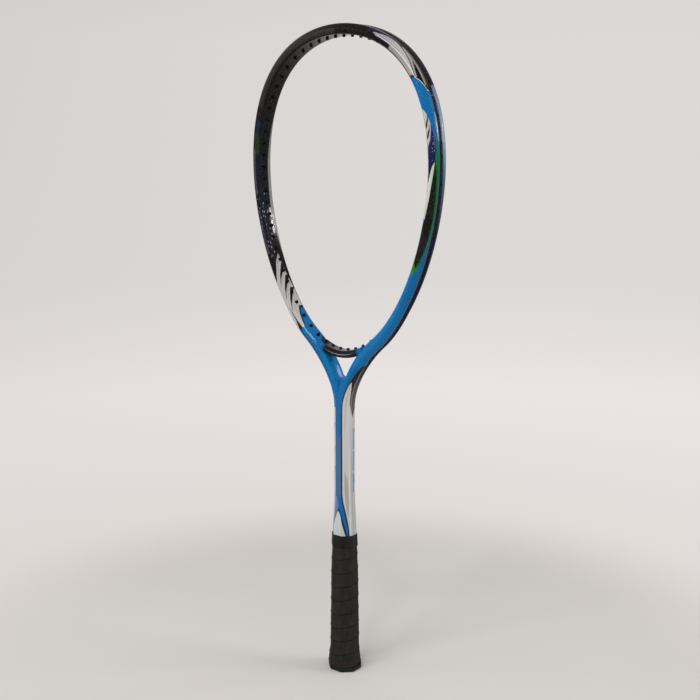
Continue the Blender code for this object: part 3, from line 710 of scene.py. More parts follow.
def stripObject(name, stations, start, end, places, finish, halves=False):
    # a flat strip in the groove, wider at each hole, with a hollow barrel through the tube there
    count = round((end - start) / grommets["step"])
    rings = []
    for i in range(count + 1):
        along = mix(start, end, i / count)
        station = stationAt(stations, along)
        nearest = min(abs(along - h.along) for h in places)
        if halves:
            nearest = min(nearest, abs(along + places[0].along))
        wide = mix(grommets["atHole"], grommets["waist"], ease(nearest / grommets["spread"]))
        low = station.outer - station.groove + grommets["seat"]
        high = low + grommets["thickness"]
        edge = grommets["edge"]
        half = [(low, wide), (high - edge, wide), (high, wide - edge), (high + grommets["crown"], 0.0)]
        ring = [station.place(a, -t) for a, t in half]
        ring += [station.place(a, t) for a, t in half[-2::-1]]
        rings.append(ring)
    edit = bmesh.new()
    loft(edit, rings, capStart=not halves, capEnd=True)
    if halves:
        mirrorMesh(edit, "X")
        places = bothSides(places)
    tidyMesh(edit)
    made = meshObject(name, edit, finish)
    barrels = bmesh.new()
    for hole in places:
        verts = rod(barrels, hole, grommets["barrelRadius"], -hole.depth - grommets["protrusion"],
                    hole.floor + grommets["seat"] + grommets["thickness"] / 2, grommets["sides"])
        mouth = [v for v in verts if (v.co - upright(hole.centre)).dot(upright(hole.normal)) < 0]
        ring = list({e for v in mouth for e in v.link_edges if e.other_vert(v) in mouth})
        bmesh.ops.bevel(barrels, geom=ring, offset=grommets["mouthRound"], segments=2, profile=0.5,
                        affect="EDGES", material=-1)
    booleanWith(made, cutter(name + "Barrels", barrels), "UNION")
    bores = bmesh.new()
    for hole in places:
        top = hole.floor + grommets["seat"] + grommets["thickness"]
        rod(bores, hole, grommets["bore"], -hole.depth - holes["past"], top - grommets["boreEnd"],
            grommets["sides"])
        rod(bores, hole, grommets["bore"], top - grommets["sinkStart"], top + grommets["sinkPast"],
            grommets["sides"], grommets["sinkRadius"])
    booleanWith(made, cutter(name + "Bores", bores), "DIFFERENCE")
    return made


def mirroredPiece(made, name, finish):
    edit = bmesh.new()
    edit.from_mesh(made.data)
    bmesh.ops.scale(edit, vec=(-1.0, 1.0, 1.0), verts=edit.verts)
    bmesh.ops.reverse_faces(edit, faces=edit.faces)
    return meshObject(name, edit, finish)


# frame paint

paint = {
    "black": "0e0d10",
    "blue": "0b69a9",
    "white": "e6e7e5",
    "navy": "16233c",
    "bridgeDark": "17181b",
    "bridgeLighter": "232427",
    "roughness": (0.13, 0.19),
    "specular": 0.045,
    "coat": 0.08,
    "coatRoughness": 0.05,
    "cloud": 18.0,
    "cloudRange": (0.35, 0.65),
    "wear": (220.0, 220.0, 900.0),
    "wearDetail": 3.0,
    "wearRange": (0.40, 0.60),
    "wornCoat": 0.9,
    "ripple": 260.0,
    "bump": (0.05, 0.0002),
    "bridgeCloud": (40.0, 3.0),
    "bridgeRoughness": (0.25, 0.36),
    "bridgeCoatRoughness": 0.08,
    "bridgeRipple": 300.0,
}

fleck = {
    "shade": "c9cbd0",
    "rows": 36.0,
    "radius": 0.24,
    "soft": 0.06,
    "left": 0.4,
    "fade": 4.0,
    "side": 0.2,
}
navyFlecks = {"start": 170, "end": 198, "low": 3.2, "high": 3.8, "length": 2.2, "strength": 0.8}
armFlecks = {"start": 232, "end": 304, "low": -0.3, "high": 2.7, "length": 5.0, "strength": 0.75}
flake = {"scale": 2600.0, "from": 0.93, "soft": 0.03, "strength": 0.06}
rightFrom = {"across": 1.5, "soft": 0.02}   # up to here the inner flats share the left's paint


def band(codes, strength, soft, start, end, low, high):
    # a painted shape with straight edges
    return codes, strength, soft, [(start, low), (end, low)], [(start, high), (end, high)]


# Painted shapes, the later ones on top. Each has its shade at the start and, where it changes, at the
# end, its strength, the softness of its edges, then its lower and upper edge as (along, across).
# Front right and back left, above the blue: tapered silver and dark shapes
silverShoulder = [
    ("26264a 1b1a2c", 0.7, 0.25, [(38, 3.25), (50, 3.35), (66, 4.0)], [(38, 3.7), (50, 4.6), (66, 5.0)]),
    ("a8a4b4 bcb8b4", 1.0, 0.06, [(46, 3.32), (50, 3.16), (60, 3.05), (113, 3.02)],
     [(46, 3.42), (55, 3.72), (62, 3.92), (72, 4.08), (80, 4.05), (90, 3.78), (100, 3.5), (113, 3.08)]),
    band("8f8c8b a3a09e", 1.0, 0.06, 71, 111, 1.9, 3.02),
    ("d9d7d6 f0efec", 1.0, 0.05, [(50, 3.04), (113, 3.04)], [(50, 3.12), (113, 3.2)]),
    ("a8a39d 9d9993", 1.0, 0.05, [(80, 4.1), (90, 3.86), (100, 3.58), (108, 3.3), (114, 3.1)],
     [(80, 4.36), (90, 4.32), (98, 4.06), (107, 3.62), (114, 3.42)]),
    ("8d8882 a39d95", 1.0, 0.06, [(88, 4.34), (98, 4.08), (124, 4.06)],
     [(88, 4.42), (105, 4.44), (124, 4.32)]),
    ("1d1a18", 1.0, 0.04, [(76, 4.04), (90, 3.76), (100, 3.47), (113, 3.06)],
     [(76, 4.1), (90, 3.87), (100, 3.59), (113, 3.17)]),
    ("57525a", 0.8, 0.05, [(47, 3.3), (60, 3.3), (84, 3.27)], [(47, 3.36), (60, 3.4), (84, 3.31)]),
    ("4a4650", 0.8, 0.06, [(50, 3.52), (62, 3.66), (72, 3.74)], [(50, 3.58), (62, 3.76), (72, 3.78)]),
    ("8c867e", 0.8, 0.04, [(84, 4.56), (126, 4.5)], [(84, 4.66), (126, 4.6)]),
    band("6d6640", 0.7, 0.1, 116, 127, 4.62, 5.0),
    ("120f0c", 1.0, 0.04, [(98, 4.0), (107, 3.62), (114, 3.5), (118, 3.6), (124, 3.96)],
     [(98, 4.05), (124, 4.05)]),
    ("24262e", 1.0, 0.05, [(109.5, 1.9), (114.5, 1.9)], [(109.5, 2.6), (114.5, 3.12)]),
]

# On and below the blue: silver and navy, green with a dark blade, silver beside the grip
rightArmShapes = [
    # silver and navy below the blue
    ("c0bdb8 b6b4b2", 1.0, 0.05, [(145, 1.5), (196, 1.5)],
     [(145, 2.1), (150, 2.92), (160, 3.38), (172, 3.62), (196, 3.5)]),
    ("d0d3cc c3cbbd", 1.0, 0.05, [(192, 1.5), (252, 1.5)],
     [(192, 3.62), (197, 3.6), (210, 3.3), (220, 3.1), (230, 2.9), (240, 2.6), (252, 2.2)]),
    ("1b2560 101230", 1.0, 0.06, [(158, 3.36), (166, 3.28), (175, 2.98), (186, 1.9), (216, 1.9)],
     [(158, 3.4), (170, 3.76), (182, 3.86), (195, 3.7), (200, 3.18), (206, 2.78), (216, 2.1)]),
    ("3a3a3c", 1.0, 0.05, [(151.5, 3.08), (155, 2.85), (161, 2.0), (165, 1.9)],
     [(151.5, 3.12), (157, 3.06), (163, 2.5), (165, 1.95)]),
    ("2c2e3c", 1.0, 0.05, [(161.5, 3.12), (165.5, 2.9), (171, 2.0), (175, 1.9)],
     [(161.5, 3.16), (167, 3.1), (173, 2.55), (175, 1.95)]),
    ("33364c", 1.0, 0.05, [(171.5, 3.2), (176, 2.95), (181, 2.1), (185, 1.9)],
     [(171.5, 3.24), (178, 3.1), (183, 2.6), (185, 1.95)]),
    ("7d90b4", 0.6, 0.08, [(160, 3.42), (170, 3.62), (184, 3.6)], [(160, 3.46), (170, 3.7), (184, 3.66)]),
    # teal, green and the blade
    band("0b69a9 1a6450", 1.0, 0.12, 172, 198, 4.1, 5.0),
    ("1a6450 2c6068", 1.0, 0.12, [(197, 4.1), (290, 3.9)], [(197, 5.0), (290, 5.0)]),
    ("2c6068 0b69a9", 1.0, 0.12, [(272, 3.98), (306, 3.8)], [(272, 5.0), (306, 5.0)]),
    ("14704a 1f6a16", 1.0, 0.06,
     [(172, 3.88), (182, 3.84), (190, 3.68), (197, 3.56), (210, 3.28), (230, 2.88), (252, 2.2),
      (262, 1.5), (300, 1.5), (308, 2.5)],
     [(172, 3.95), (185, 4.18), (205, 4.14), (240, 4.1), (257, 4.04), (272, 3.92), (285, 3.76), (297, 3.52),
      (306, 3.38), (308, 3.0)]),
    ("0c5210 1c6412", 1.0, 0.07, [(193, 3.6), (210, 3.3), (230, 2.88), (252, 2.2), (300, 1.5)],
     [(193, 3.7), (205, 3.96), (240, 4.04), (257, 3.98), (272, 3.88), (285, 3.72), (300, 3.46)]),
    ("256a1a 2f8426", 0.9, 0.1, [(296, 2.0), (309, 2.0)], [(296, 3.45), (304, 3.4), (309, 2.9)]),
    ("0a1a02 140f10", 1.0, 0.05,
     [(200, 3.6), (206, 3.5), (215, 3.25), (230, 2.92), (252, 2.25), (262, 1.5), (272, 1.5)],
     [(200, 3.66), (206, 3.76), (220, 3.86), (250, 3.94), (262, 3.86), (272, 3.78)]),
    ("241520 101a0a", 1.0, 0.05, [(271, 1.5), (294, 1.5), (302, 3.02)],
     [(271, 3.78), (280, 3.66), (290, 3.42), (302, 3.06)]),
    ("1676b6", 0.7, 0.4, [(345, 1.5), (435, 1.5)], [(345, 4.2), (435, 4.0)]),
    # a pale blue-white patch on the outer face, 150 to 177 mm from the tip: a painted highlight
    ("b4d6ee", 0.5, 0.15, [(150, 4.3), (164, 4.2), (177, 4.3)], [(150, 4.4), (164, 4.9), (177, 4.6)]),
    # shaft: striped side, pearl panel with faint bands, navy line, pale triangle at the grip
    ("1c1f28 2f2723", 1.0, 0.04, [(430, 3.92), (440, 3.62), (450, 3.45), (460, 3.32), (472, 3.2)],
     [(430, 4.0), (445, 4.0), (472, 3.98)]),
    band("23242a 57504a", 1.0, 0.06, 430, 500, 3.98, 5.0),
    ("a09890", 1.0, 0.03, [(438, 4.26), (470, 4.1), (494, 4.28)], [(438, 4.34), (470, 4.22), (494, 4.4)]),
    ("b3aba2", 1.0, 0.03, [(434, 4.5), (462, 4.34), (492, 4.5)], [(434, 4.55), (462, 4.42), (492, 4.6)]),
    ("968e86", 1.0, 0.03, [(434, 4.7), (462, 4.56), (492, 4.7)], [(434, 4.76), (462, 4.66), (492, 4.8)]),
    band("2a6a9e", 0.5, 0.4, 478, 584, 0.0, 3.05),
    band("566f8c", 0.5, 0.5, 518, 584, 0.0, 3.05),
    ("d0d0d2 c7c7c9", 1.0, 0.04,
     [(455, 3.5), (460, 3.34), (470, 3.2), (480, 3.1), (500, 3.06), (580, 3.06), (590, 3.2),
      (600, 3.46), (610, 3.66), (620, 3.82), (627, 3.88), (650, 3.9)],
     [(455, 3.56), (462, 3.78), (470, 3.9), (482, 3.98), (489, 4.4), (497, 5.0), (650, 5.0)]),
    ("a6a4a4", 0.6, 0.06, [(458, 3.56), (480, 3.42), (520, 3.33)], [(458, 3.6), (480, 3.6), (520, 3.37)]),
    ("b3a9a2 a9a09a", 0.9, 0.06, [(556, 3.34), (575, 3.34), (590, 3.45), (606, 3.78)],
     [(556, 3.4), (566, 3.78), (590, 3.9), (606, 3.84)]),
    ("efeeec", 0.9, 0.04, [(530, 3.92), (645, 3.95)], [(530, 3.98), (645, 4.04)]),
    ("b9b7b6 a7a3a1", 0.8, 0.08, [(500, 4.3), (540, 4.35), (600, 4.6), (640, 4.7)],
     [(500, 4.34), (540, 4.85), (600, 5.0), (640, 5.0)]),
    ("16243f", 1.0, 0.05, [(430, 3.86), (440, 3.56), (450, 3.4), (460, 3.22), (470, 3.06), (480, 2.98),
                           (500, 2.8), (580, 2.76), (590, 3.02), (600, 3.3), (620, 3.7), (645, 3.76)],
     [(430, 3.96), (440, 3.64), (450, 3.47), (460, 3.33), (470, 3.2), (480, 3.12), (500, 3.06), (580, 3.06),
      (590, 3.2), (600, 3.46), (610, 3.66), (620, 3.82), (645, 3.88)]),
    ("142036", 1.0, 0.05, [(596, 1.5), (645, 1.5)],
     [(596, 1.9), (600, 2.62), (605, 3.0), (615, 3.3), (627, 3.62), (645, 3.8)]),
    ("c4ced2 bdc7c6", 1.0, 0.05, [(598.5, 1.5), (645, 1.5)],
     [(598.5, 1.8), (602, 2.4), (606, 2.74), (615, 3.06), (627, 3.42), (645, 3.6)]),
]

# Front left and back right, with the inner flats of both: across runs from -1 at the back over 0 at the
# string holes to the front. Faint tints and a pale inner edge, which lie under the flecks
tipTints = [
    band("34312e", 0.8, 0.3, 2, 140, 1.4, 3.0),
    band("241a26", 0.8, 0.3, 143, 152, 1.4, 2.6),
    band("122a3c", 0.9, 0.3, 154, 172, 1.2, 2.4),
    ("22381a", 0.9, 0.3, [(170, 1.0), (192, 0.9)], [(170, 2.7), (192, 2.4)]),
    ("0d1c33 0c1526", 0.9, 0.3, [(192, 0.9), (300, 0.4)], [(192, 1.7), (300, 1.9)]),
    ("5d5852", 0.6, 0.25, [(186, 2.1), (235, 2.0)], [(186, 2.8), (235, 2.7)]),
    ("8a8a8a a3a3a3", 0.9, 0.08, [(140, -1.0), (300, -1.0)],
     [(140, -0.97), (165, -0.8), (200, -0.55), (255, -0.5), (270, -0.62), (300, -0.9)]),
]

# a silver ground is cut by dark wedges that slant across the tube, each with a light line beside it
wedges = {
    "dark": "141317",
    "light": "d6d4d3",
    "starts": (312, 327, 342),
    "length": 28,
    "low": -0.95,
    "high": 1.85,
    "wide": 0.85,
    "narrow": 0.06,
    "lineGap": 0.1,
    "lineWide": 0.12,
    "lineShort": 4,
    "lineHigh": 1.6,
}


def slantingWedges():
    rows = []
    low = wedges["low"]
    line = low + wedges["wide"] + wedges["lineGap"]
    for start in wedges["starts"]:
        end = start + wedges["length"]
        rows.append((wedges["dark"], 1.0, 0.05, [(start, low), (end, wedges["high"])],
                     [(start, low + wedges["wide"]), (end, wedges["high"] + wedges["narrow"])]))
        lineEnd = end - wedges["lineShort"]
        top = wedges["lineHigh"]
        rows.append((wedges["light"], 0.9, 0.05, [(start, line), (lineEnd, top)],
                     [(start, line + wedges["lineWide"]), (lineEnd, top + wedges["narrow"])]))
    return rows


leftArmShapes = [
    ("d8d6d4", 1.0, 0.05, [(250, -0.42), (260.2, -0.44)], [(250, -0.18), (260.2, -0.2)]),
    ("d8d6d4", 1.0, 0.05, [(263.8, -0.46), (278.3, -0.46)], [(263.8, -0.12), (278.3, -0.15)]),
    band("c8c6c4", 0.8, 0.06, 281, 284, -0.4, -0.2),
    ("3c4048 5a5a5e", 0.5, 0.3, [(252, 1.9), (300, 1.95)], [(252, 2.6), (300, 2.7)]),
    # silver ground and its wedges
    ("aeabb0 c0bdbe", 1.0, 0.05,
     [(302, -0.05), (318, -0.3), (345, -0.9), (366, -0.95), (380, 0.55), (393, 1.1)],
     [(302, 0.05), (310, 0.75), (320, 1.4), (330, 2.4), (335, 3.4), (393, 3.4)]),
    *slantingWedges(),
    ("2a1f1b", 1.0, 0.05, [(364, 2.2), (393, 1.95)], [(364, 2.28), (380, 2.42), (393, 3.2)]),
    # blue to the throat, with painted shade and painted reflections near the fork and the bridge
    ("161c24", 1.0, 0.04, [(365, -1.5), (394, -1.5)],
     [(365, -0.15), (375, 0.5), (383, 0.8), (391, 1.16), (394, 1.6)]),
    ("0b69a9", 1.0, 0.04, [(368, -1.5), (650, -1.5)],
     [(368, -0.35), (375, 0.22), (383, 0.5), (391, 0.98), (393, 3.4), (650, 3.4)]),
    # a darker navy along the front outer edge, 393 to 458 mm from the tip: painted shade
    ("1d3a5c", 0.8, 0.1, [(393, 2.65), (458, 2.7)], [(393, 3.4), (458, 3.4)]),
    # a more cyan, lighter blue over the inner faces near the fork, and a brighter patch on it: a painted
    # reflection
    ("0a7ab8", 0.9, 0.3, [(428, -0.4), (457, -0.2)], [(428, 1.9), (457, 2.2)]),
    ("1c90d6", 0.85, 0.15, [(434, -1.2), (456, -1.2)], [(434, 0.1), (456, 0.2)]),
    # a near-white gleam on the inner face near the fork, 444 to 457 mm from the tip: a painted highlight
    ("cfe8fa", 0.6, 0.15, [(444, -0.5), (450, -0.55), (457, -0.5)], [(444, -0.3), (450, 0.0), (457, -0.1)]),
    # a light blue streak along the inner chamfer, 386 to 410 mm from the tip: a painted reflection
    ("8fc4e4", 0.6, 0.12, [(386, 1.5), (398, 1.5), (410, 1.4)], [(386, 1.6), (398, 1.8), (410, 1.7)]),
    # a dark patch on the arm's inner face where the bridge meets it: partly the bridge's dark paint carried
    # onto the arm, partly painted shade between the parts
    ("121a30", 0.9, 0.3, [(409, -1.3), (431, -1.3)],
     [(409, -0.5), (415, 0.25), (421, 0.6), (427, 0.35), (431, -0.3)]),
    # back of the outer face
    band("7680a8 a3b8ce", 1.0, 0.2, 124, 179, 4.0, 5.0),
    band("94abc6 56708f", 1.0, 0.2, 178, 211, 4.0, 5.0),
    band("56708f 1d2540", 1.0, 0.2, 210, 266, 4.0, 5.0),
    band("1d2540 191d30", 1.0, 0.06, 266, 432, 3.4, 5.0),
    band("17191f 57504a", 1.0, 0.06, 432, 500, 3.6, 5.0),
    ("a39b92", 0.8, 0.04, [(440, 4.0), (466, 4.56), (490, 4.7)], [(440, 4.06), (466, 4.68), (490, 4.82)]),
    ("8f877e", 0.8, 0.04, [(444, 3.7), (470, 4.1), (494, 4.3)], [(444, 3.76), (470, 4.22), (494, 4.42)]),
    # shaft: dull blue, pale sides, light-blue stripe in three pieces, lavender leg, pale triangle
    band("2a6a9e", 0.5, 0.4, 478, 584, 0.0, 2.8),
    band("566f8c", 0.5, 0.5, 518, 584, 0.0, 2.8),
    ("c3c4c8 b9bcbc", 1.0, 0.04, [(486, 2.86), (500, 2.82), (650, 2.82)],
     [(486, 2.9), (489, 4.2), (497, 5.0), (650, 5.0)]),
    ("a9abb2", 0.7, 0.06, [(520, 3.2), (600, 3.3), (640, 3.4)], [(520, 3.24), (600, 3.7), (640, 3.9)]),
    ("5d6480", 0.9, 0.05, [(470, 2.66), (590, 2.7)], [(470, 2.84), (590, 2.86)]),
    ("5f6470", 0.9, 0.1, [(503, 2.9), (513, 3.5)], [(503, 3.5), (513, 4.3)]),
    ("5f6470", 0.8, 0.1, [(528, 2.9), (540, 3.5)], [(528, 3.2), (540, 4.2)]),
    ("5c6650", 0.9, 0.1, [(551, 2.9), (568, 3.5)], [(551, 3.4), (568, 4.3)]),
    band("7ba7c8 6f9fc4", 0.9, 0.05, 509, 532, 4.32, 4.86),
    band("6f9fc4", 0.9, 0.05, 534.5, 556, 4.32, 4.86),
    band("6499c4", 0.9, 0.05, 558.5, 580, 4.32, 4.86),
    ("7f7f9c 8e8ba0", 0.85, 0.06, [(584, 2.3), (594, 1.9), (606, 2.6), (640, 3.4)],
     [(584, 2.75), (600, 3.0), (627, 3.9), (640, 4.0)]),
    ("2a2a3c", 1.0, 0.04, [(595, 1.5), (645, 1.5)],
     [(595, 1.6), (600, 2.25), (606, 2.75), (615, 3.18), (627, 3.6), (645, 3.9)]),
    ("c4ced2 bdc7c6", 1.0, 0.05, [(598.5, 1.5), (645, 1.5)],
     [(598.5, 1.8), (602, 2.3), (608, 2.7), (616, 3.1), (627, 3.5), (645, 3.8)]),
]

# The bridge, from its middle: along counts both ways
bridgeShapes = [
    ("85878a 4a4c52", 0.8, 0.15, [(-1, -1.0), (24, -1.0)], [(-1, 1.05), (24, 0.9)]),
    ("a5a3a2 6f7276", 0.8, 0.06, [(-1, 2.3), (14, 2.3), (21, 2.1)], [(-1, 2.6), (14, 2.5), (21, 2.15)]),
    ("141a38 0b69a9", 1.0, 0.15, [(21, 1.0), (27, 0.9)], [(21, 1.2), (23, 3.6), (27, 5.2)]),
    ("0b69a9", 1.0, 0.15, [(26, 0.9), (60, 0.4)], [(26, 5.2), (60, 5.2)]),
]

# where the right arm's blue begins, as (across, along), with a light and a navy line at its edge
blueStarts = [(0.0, 113.0), (2.9, 113.0), (3.15, 115.0), (3.6, 120.0), (3.9, 125.0), (4.15, 130.0),
              (4.5, 131.0), (5.0, 131.0)]
blueEdge = {
    "flats": 5,
    "reach": 200,
    "soft": 0.3,
    "lineSoft": 0.2,
    "low": 3.05,
    "lowSoft": 0.05,
    "high": 4.4,
    "highSoft": 0.1,
    "lines": ((-1.6, -0.3, "white"), (-0.3, 0.7, "navy")),
}
curve = {"scale": 10, "middle": 0.5, "softAlong": 8}    # how an edge is kept in a curve's own 0 to 1


def shapeGroup():
    # lays one painted shape over what is there, between two edges and two places along the tube
    tree = bpy.data.node_groups.new("paintShape", "ShaderNodeTree")
    for name in ("Base", "First", "Last"):
        tree.interface.new_socket(name, in_out="INPUT", socket_type="NodeSocketColor")
    for name in ("Along", "Level", "Low", "High", "Start", "End", "Share", "Soft", "Strength"):
        tree.interface.new_socket(name, in_out="INPUT", socket_type="NodeSocketFloat")
    tree.interface.new_socket("Painted", in_out="OUTPUT", socket_type="NodeSocketColor")
    sheet = Sheet(tree)
    given = tree.nodes.new("NodeGroupInput")
    item = {socket.name: Value(sheet, socket) for socket in given.outputs if socket.name}
    soft = item["Soft"]
    softAlong = soft * curve["softAlong"]
    scale = curve["scale"]
    shift = scale * curve["middle"]
    mask = sheet.ramped(item["Level"] - item["Low"] * scale + shift, 0 - soft, soft)
    mask = mask * sheet.ramped(item["High"] * scale - shift - item["Level"], 0 - soft, soft)
    mask = mask * sheet.ramped(item["Along"] - item["Start"], 0 - softAlong, softAlong)
    mask = mask * sheet.ramped(item["End"] - item["Along"], 0 - softAlong, softAlong)
    shade = sheet.over(item["First"], item["Last"], item["Share"])
    painted = sheet.over(item["Base"], shade, mask * item["Strength"])
    tree.links.new(painted.socket, tree.nodes.new("NodeGroupOutput").inputs["Painted"])
    return tree


paintShape = shapeGroup()


class TubePaint(Finish):
    # paints in the tube's own map: along in millimetres from the tip, across by the number of the flat
    def __init__(self, name):
        super().__init__(name)
        self.map = self.node("ShaderNodeUVMap", {"uv_map": "tube"})
        place = self.parts(self.map)
        self.along = place[0] * mapLength
        self.across = place[1] * mapFlats
        self.level = self.across
        self.place = self.objectPlace()
        x, y = self.parts(self.place)[:2]
        self.onRight = (x * y) < 0.0

    def step(self, value, at, soft):
        return self.ramped(value, at - soft, at + soft)

    def window(self, start, end, soft):
        return self.step(self.along, start, soft) * (1 - self.step(self.along, end, soft))

    def shape(self, base, codes, strength, soft, low, high):
        start, end = low[0][0], low[-1][0]
        first, last = (codes.split() * 2)[:2]
        share = (self.along - start) / (end - start)
        edges = []
        for edge in (low, high):
            places = [((a - start) / (end - start), b / curve["scale"] + curve["middle"]) for a, b in edge]
            edges.append(self.node("ShaderNodeFloatCurve", {"points": places}, {"Value": share}))
        return self.node("ShaderNodeGroup", {"node_tree": paintShape},
                         {"Base": base, "First": colour(first), "Last": colour(last), "Along": self.along,
                          "Level": self.level, "Low": edges[0], "High": edges[1], "Start": start, "End": end,
                          "Share": share, "Soft": soft, "Strength": strength})

    def flecks(self, base, start, end, low, high, length, strength):
        # fine pale dashes along the tube, some of them left out
        place = self.scaled(self.map, (mapLength / length, fleck["rows"], 1.0))
        near = self.cells(place, 1.0)
        chance = self.redOf(self.cells(place, 1.0, output=1))
        mask = (1 - self.step(near, fleck["radius"], fleck["soft"])) * (chance > fleck["left"])
        mask = mask * self.window(start, end, fleck["fade"])
        mask = mask * self.step(self.level, low, fleck["side"])
        mask = mask * (1 - self.step(self.level, high, fleck["side"]))
        return self.over(base, colour(fleck["shade"]), mask * strength)

    def shapes(self, base, rows):
        for row in rows:
            base = self.shape(base, *row)
        return base


def frontRight(sheet):
    sheet.level = sheet.across
    flats, reach = blueEdge["flats"], blueEdge["reach"]
    places = [(a / flats, b / reach) for a, b in blueStarts]
    start = sheet.node("ShaderNodeFloatCurve", {"points": places}, {"Value": sheet.across / flats}) * reach
    toBlue = sheet.along - start
    base = sheet.shapes(colour(paint["black"]), silverShoulder)
    base = sheet.over(base, colour(paint["blue"]), sheet.step(toBlue, 0.0, blueEdge["soft"]))
    onEdge = sheet.step(sheet.across, blueEdge["low"], blueEdge["lowSoft"])
    onEdge = onEdge * (1 - sheet.step(sheet.across, blueEdge["high"], blueEdge["highSoft"]))
    soft = blueEdge["lineSoft"]
    for begin, end, shade in blueEdge["lines"]:
        mask = sheet.step(toBlue, begin, soft) * (1 - sheet.step(toBlue, end, soft))
        base = sheet.over(base, colour(paint[shade]), mask * onEdge)
    base = sheet.shapes(base, rightArmShapes)
    return sheet.flecks(base, **navyFlecks)


def frontLeft(sheet):
    sheet.level = sheet.across * (1 - sheet.onRight * 2)
    base = sheet.shapes(colour(paint["black"]), tipTints)
    base = sheet.flecks(base, **armFlecks)
    return sheet.shapes(base, leftArmShapes)


def framePaint():
    sheet = TubePaint("framePaint")
    left = frontLeft(sheet)
    right = frontRight(sheet)
    mask = sheet.onRight * sheet.step(sheet.across, rightFrom["across"], rightFrom["soft"])
    base = sheet.over(left, right, mask)
    # fine metal flake under the clear coat, and the faintest scuffs
    sparkle = sheet.redOf(sheet.cells(sheet.place, flake["scale"], output=1))
    mask = sheet.step(sparkle, flake["from"], flake["soft"]) * flake["strength"]
    base = sheet.over(base, colour("ffffff"), mask)
    cloud = sheet.noise(sheet.place, paint["cloud"])
    wear = sheet.noise(sheet.scaled(sheet.place, paint["wear"]), 1.0, paint["wearDetail"])
    sheet.set(baseColor=base, roughness=sheet.ramped(cloud, *paint["cloudRange"], *paint["roughness"]),
              metallic=0.0,
              coatWeight=paint["coat"] * sheet.ramped(wear, *paint["wearRange"], 1.0, paint["wornCoat"]),
              coatRoughness=paint["coatRoughness"], specularIORLevel=paint["specular"],
              normal=sheet.bump(sheet.noise(sheet.place, paint["ripple"]), *paint["bump"]))
    return sheet.material


mottleRange = (0.35, 0.7)       # the part of a noise over which one shade or roughness becomes the other
grainRange = (0.3, 0.7)
plasticLook = {"cloud": (60.0, 3.0), "smoother": 0.06, "rougher": 0.08, "specular": 0.12, "bump": 0.35}
plastics = {                    # shade, lighter shade, roughness, then the scale and depth of the grain
    "grommetNylon": ("0a0c12", "11151e", 0.58, 900.0, 0.0001),
    "capPlastic": ("10191a", "1d2a2b", 0.40, 1100.0, 0.00012),
    "collarRubber": ("1a1919", "282626", 0.50, 1300.0, 0.00015),
}
tapeLook = {
    "shade": "1d1b1a",
    "worn": "2b2826",
    # the colour, width and strength of the painted shade along each turn's overlap
    "lap": "121110",
    "lapWidth": 0.10,
    "lapStrength": 0.3,
    "pebbles": 1500.0,
    "creases": (260.0, 260.0, 90.0),
    "creaseDetail": 4.0,
    "pebbleHeight": 0.6,
    "creaseHeight": 0.7,
    "roughness": (0.62, 0.82),
    "specular": 0.2,
    "bump": (0.55, 0.0005),
}
foamLook = {
    "shade": "8b877d",
    "darker": "6f6b62",
    "cells": 1800.0,
    "cellRange": (0.1, 0.8),
    "roughness": 0.9,
    "bump": (0.5, 0.0003),
}
steelLook = {
    "shade": "b9b8b4",
    "darker": "98979a",
    "brushed": (400.0, 4000.0, 4000.0),
    "detail": 3.0,
    "roughness": (0.25, 0.4),
    "bump": (0.2, 0.0001),
}


def darkPlastic(name, code, lighter, roughness, grain, depth):
    # moulded plastic: slightly mottled, with a fine grain
    sheet = Finish(name)
    place = sheet.objectPlace()
    cloud = sheet.noise(place, *plasticLook["cloud"])
    base = sheet.over(colour(code), colour(lighter), sheet.ramped(cloud, *mottleRange))
    fine = sheet.noise(place, grain)
    low, high = roughness - plasticLook["smoother"], roughness + plasticLook["rougher"]
    sheet.set(baseColor=base, roughness=sheet.ramped(fine, *grainRange, low, high),
              specularIORLevel=plasticLook["specular"], normal=sheet.bump(fine, plasticLook["bump"], depth))
    return sheet.material


def bridgePaint():
    # dark lacquer, greyer above, with a pale tapered line along its front and the arms' colours at its ends
    sheet = TubePaint("bridgePaint")
    cloud = sheet.noise(sheet.place, *paint["bridgeCloud"])
    base = sheet.over(colour(paint["bridgeDark"]), colour(paint["bridgeLighter"]),
                      sheet.ramped(cloud, *mottleRange))
    base = sheet.shapes(base, bridgeShapes)
    sheet.set(baseColor=base, roughness=sheet.ramped(cloud, *grainRange, *paint["bridgeRoughness"]),
              coatWeight=paint["coat"], coatRoughness=paint["bridgeCoatRoughness"],
              specularIORLevel=paint["specular"],
              normal=sheet.bump(sheet.noise(sheet.place, paint["bridgeRipple"]), *paint["bump"]))
    return sheet.material


def tapeFinish():
    # cushioned synthetic leather: fine pebbles and creases, with painted shade along the overlap
    sheet, look = Finish("tapeFinish"), tapeLook
    place = sheet.objectPlace()
    uv = sheet.parts(sheet.node("ShaderNodeUVMap", {"uv_map": "wrap"}))
    pebbles = sheet.cells(place, look["pebbles"], "SMOOTH_F1")
    creases = sheet.noise(sheet.scaled(place, look["creases"]), 1.0, look["creaseDetail"])
    base = sheet.over(colour(look["shade"]), colour(look["worn"]), sheet.ramped(creases, *mottleRange))
    # painted shade along the lower edge of each turn, at the overlap
    lap = (1 - sheet.ramped(uv[1], 0.0, look["lapWidth"])) * look["lapStrength"]
    base = sheet.over(base, colour(look["lap"]), lap)
    height = pebbles * look["pebbleHeight"] + creases * look["creaseHeight"]
    sheet.set(baseColor=base, roughness=sheet.ramped(creases, *grainRange, *look["roughness"]),
              specularIORLevel=look["specular"], normal=sheet.bump(height, *look["bump"]))
    return sheet.material


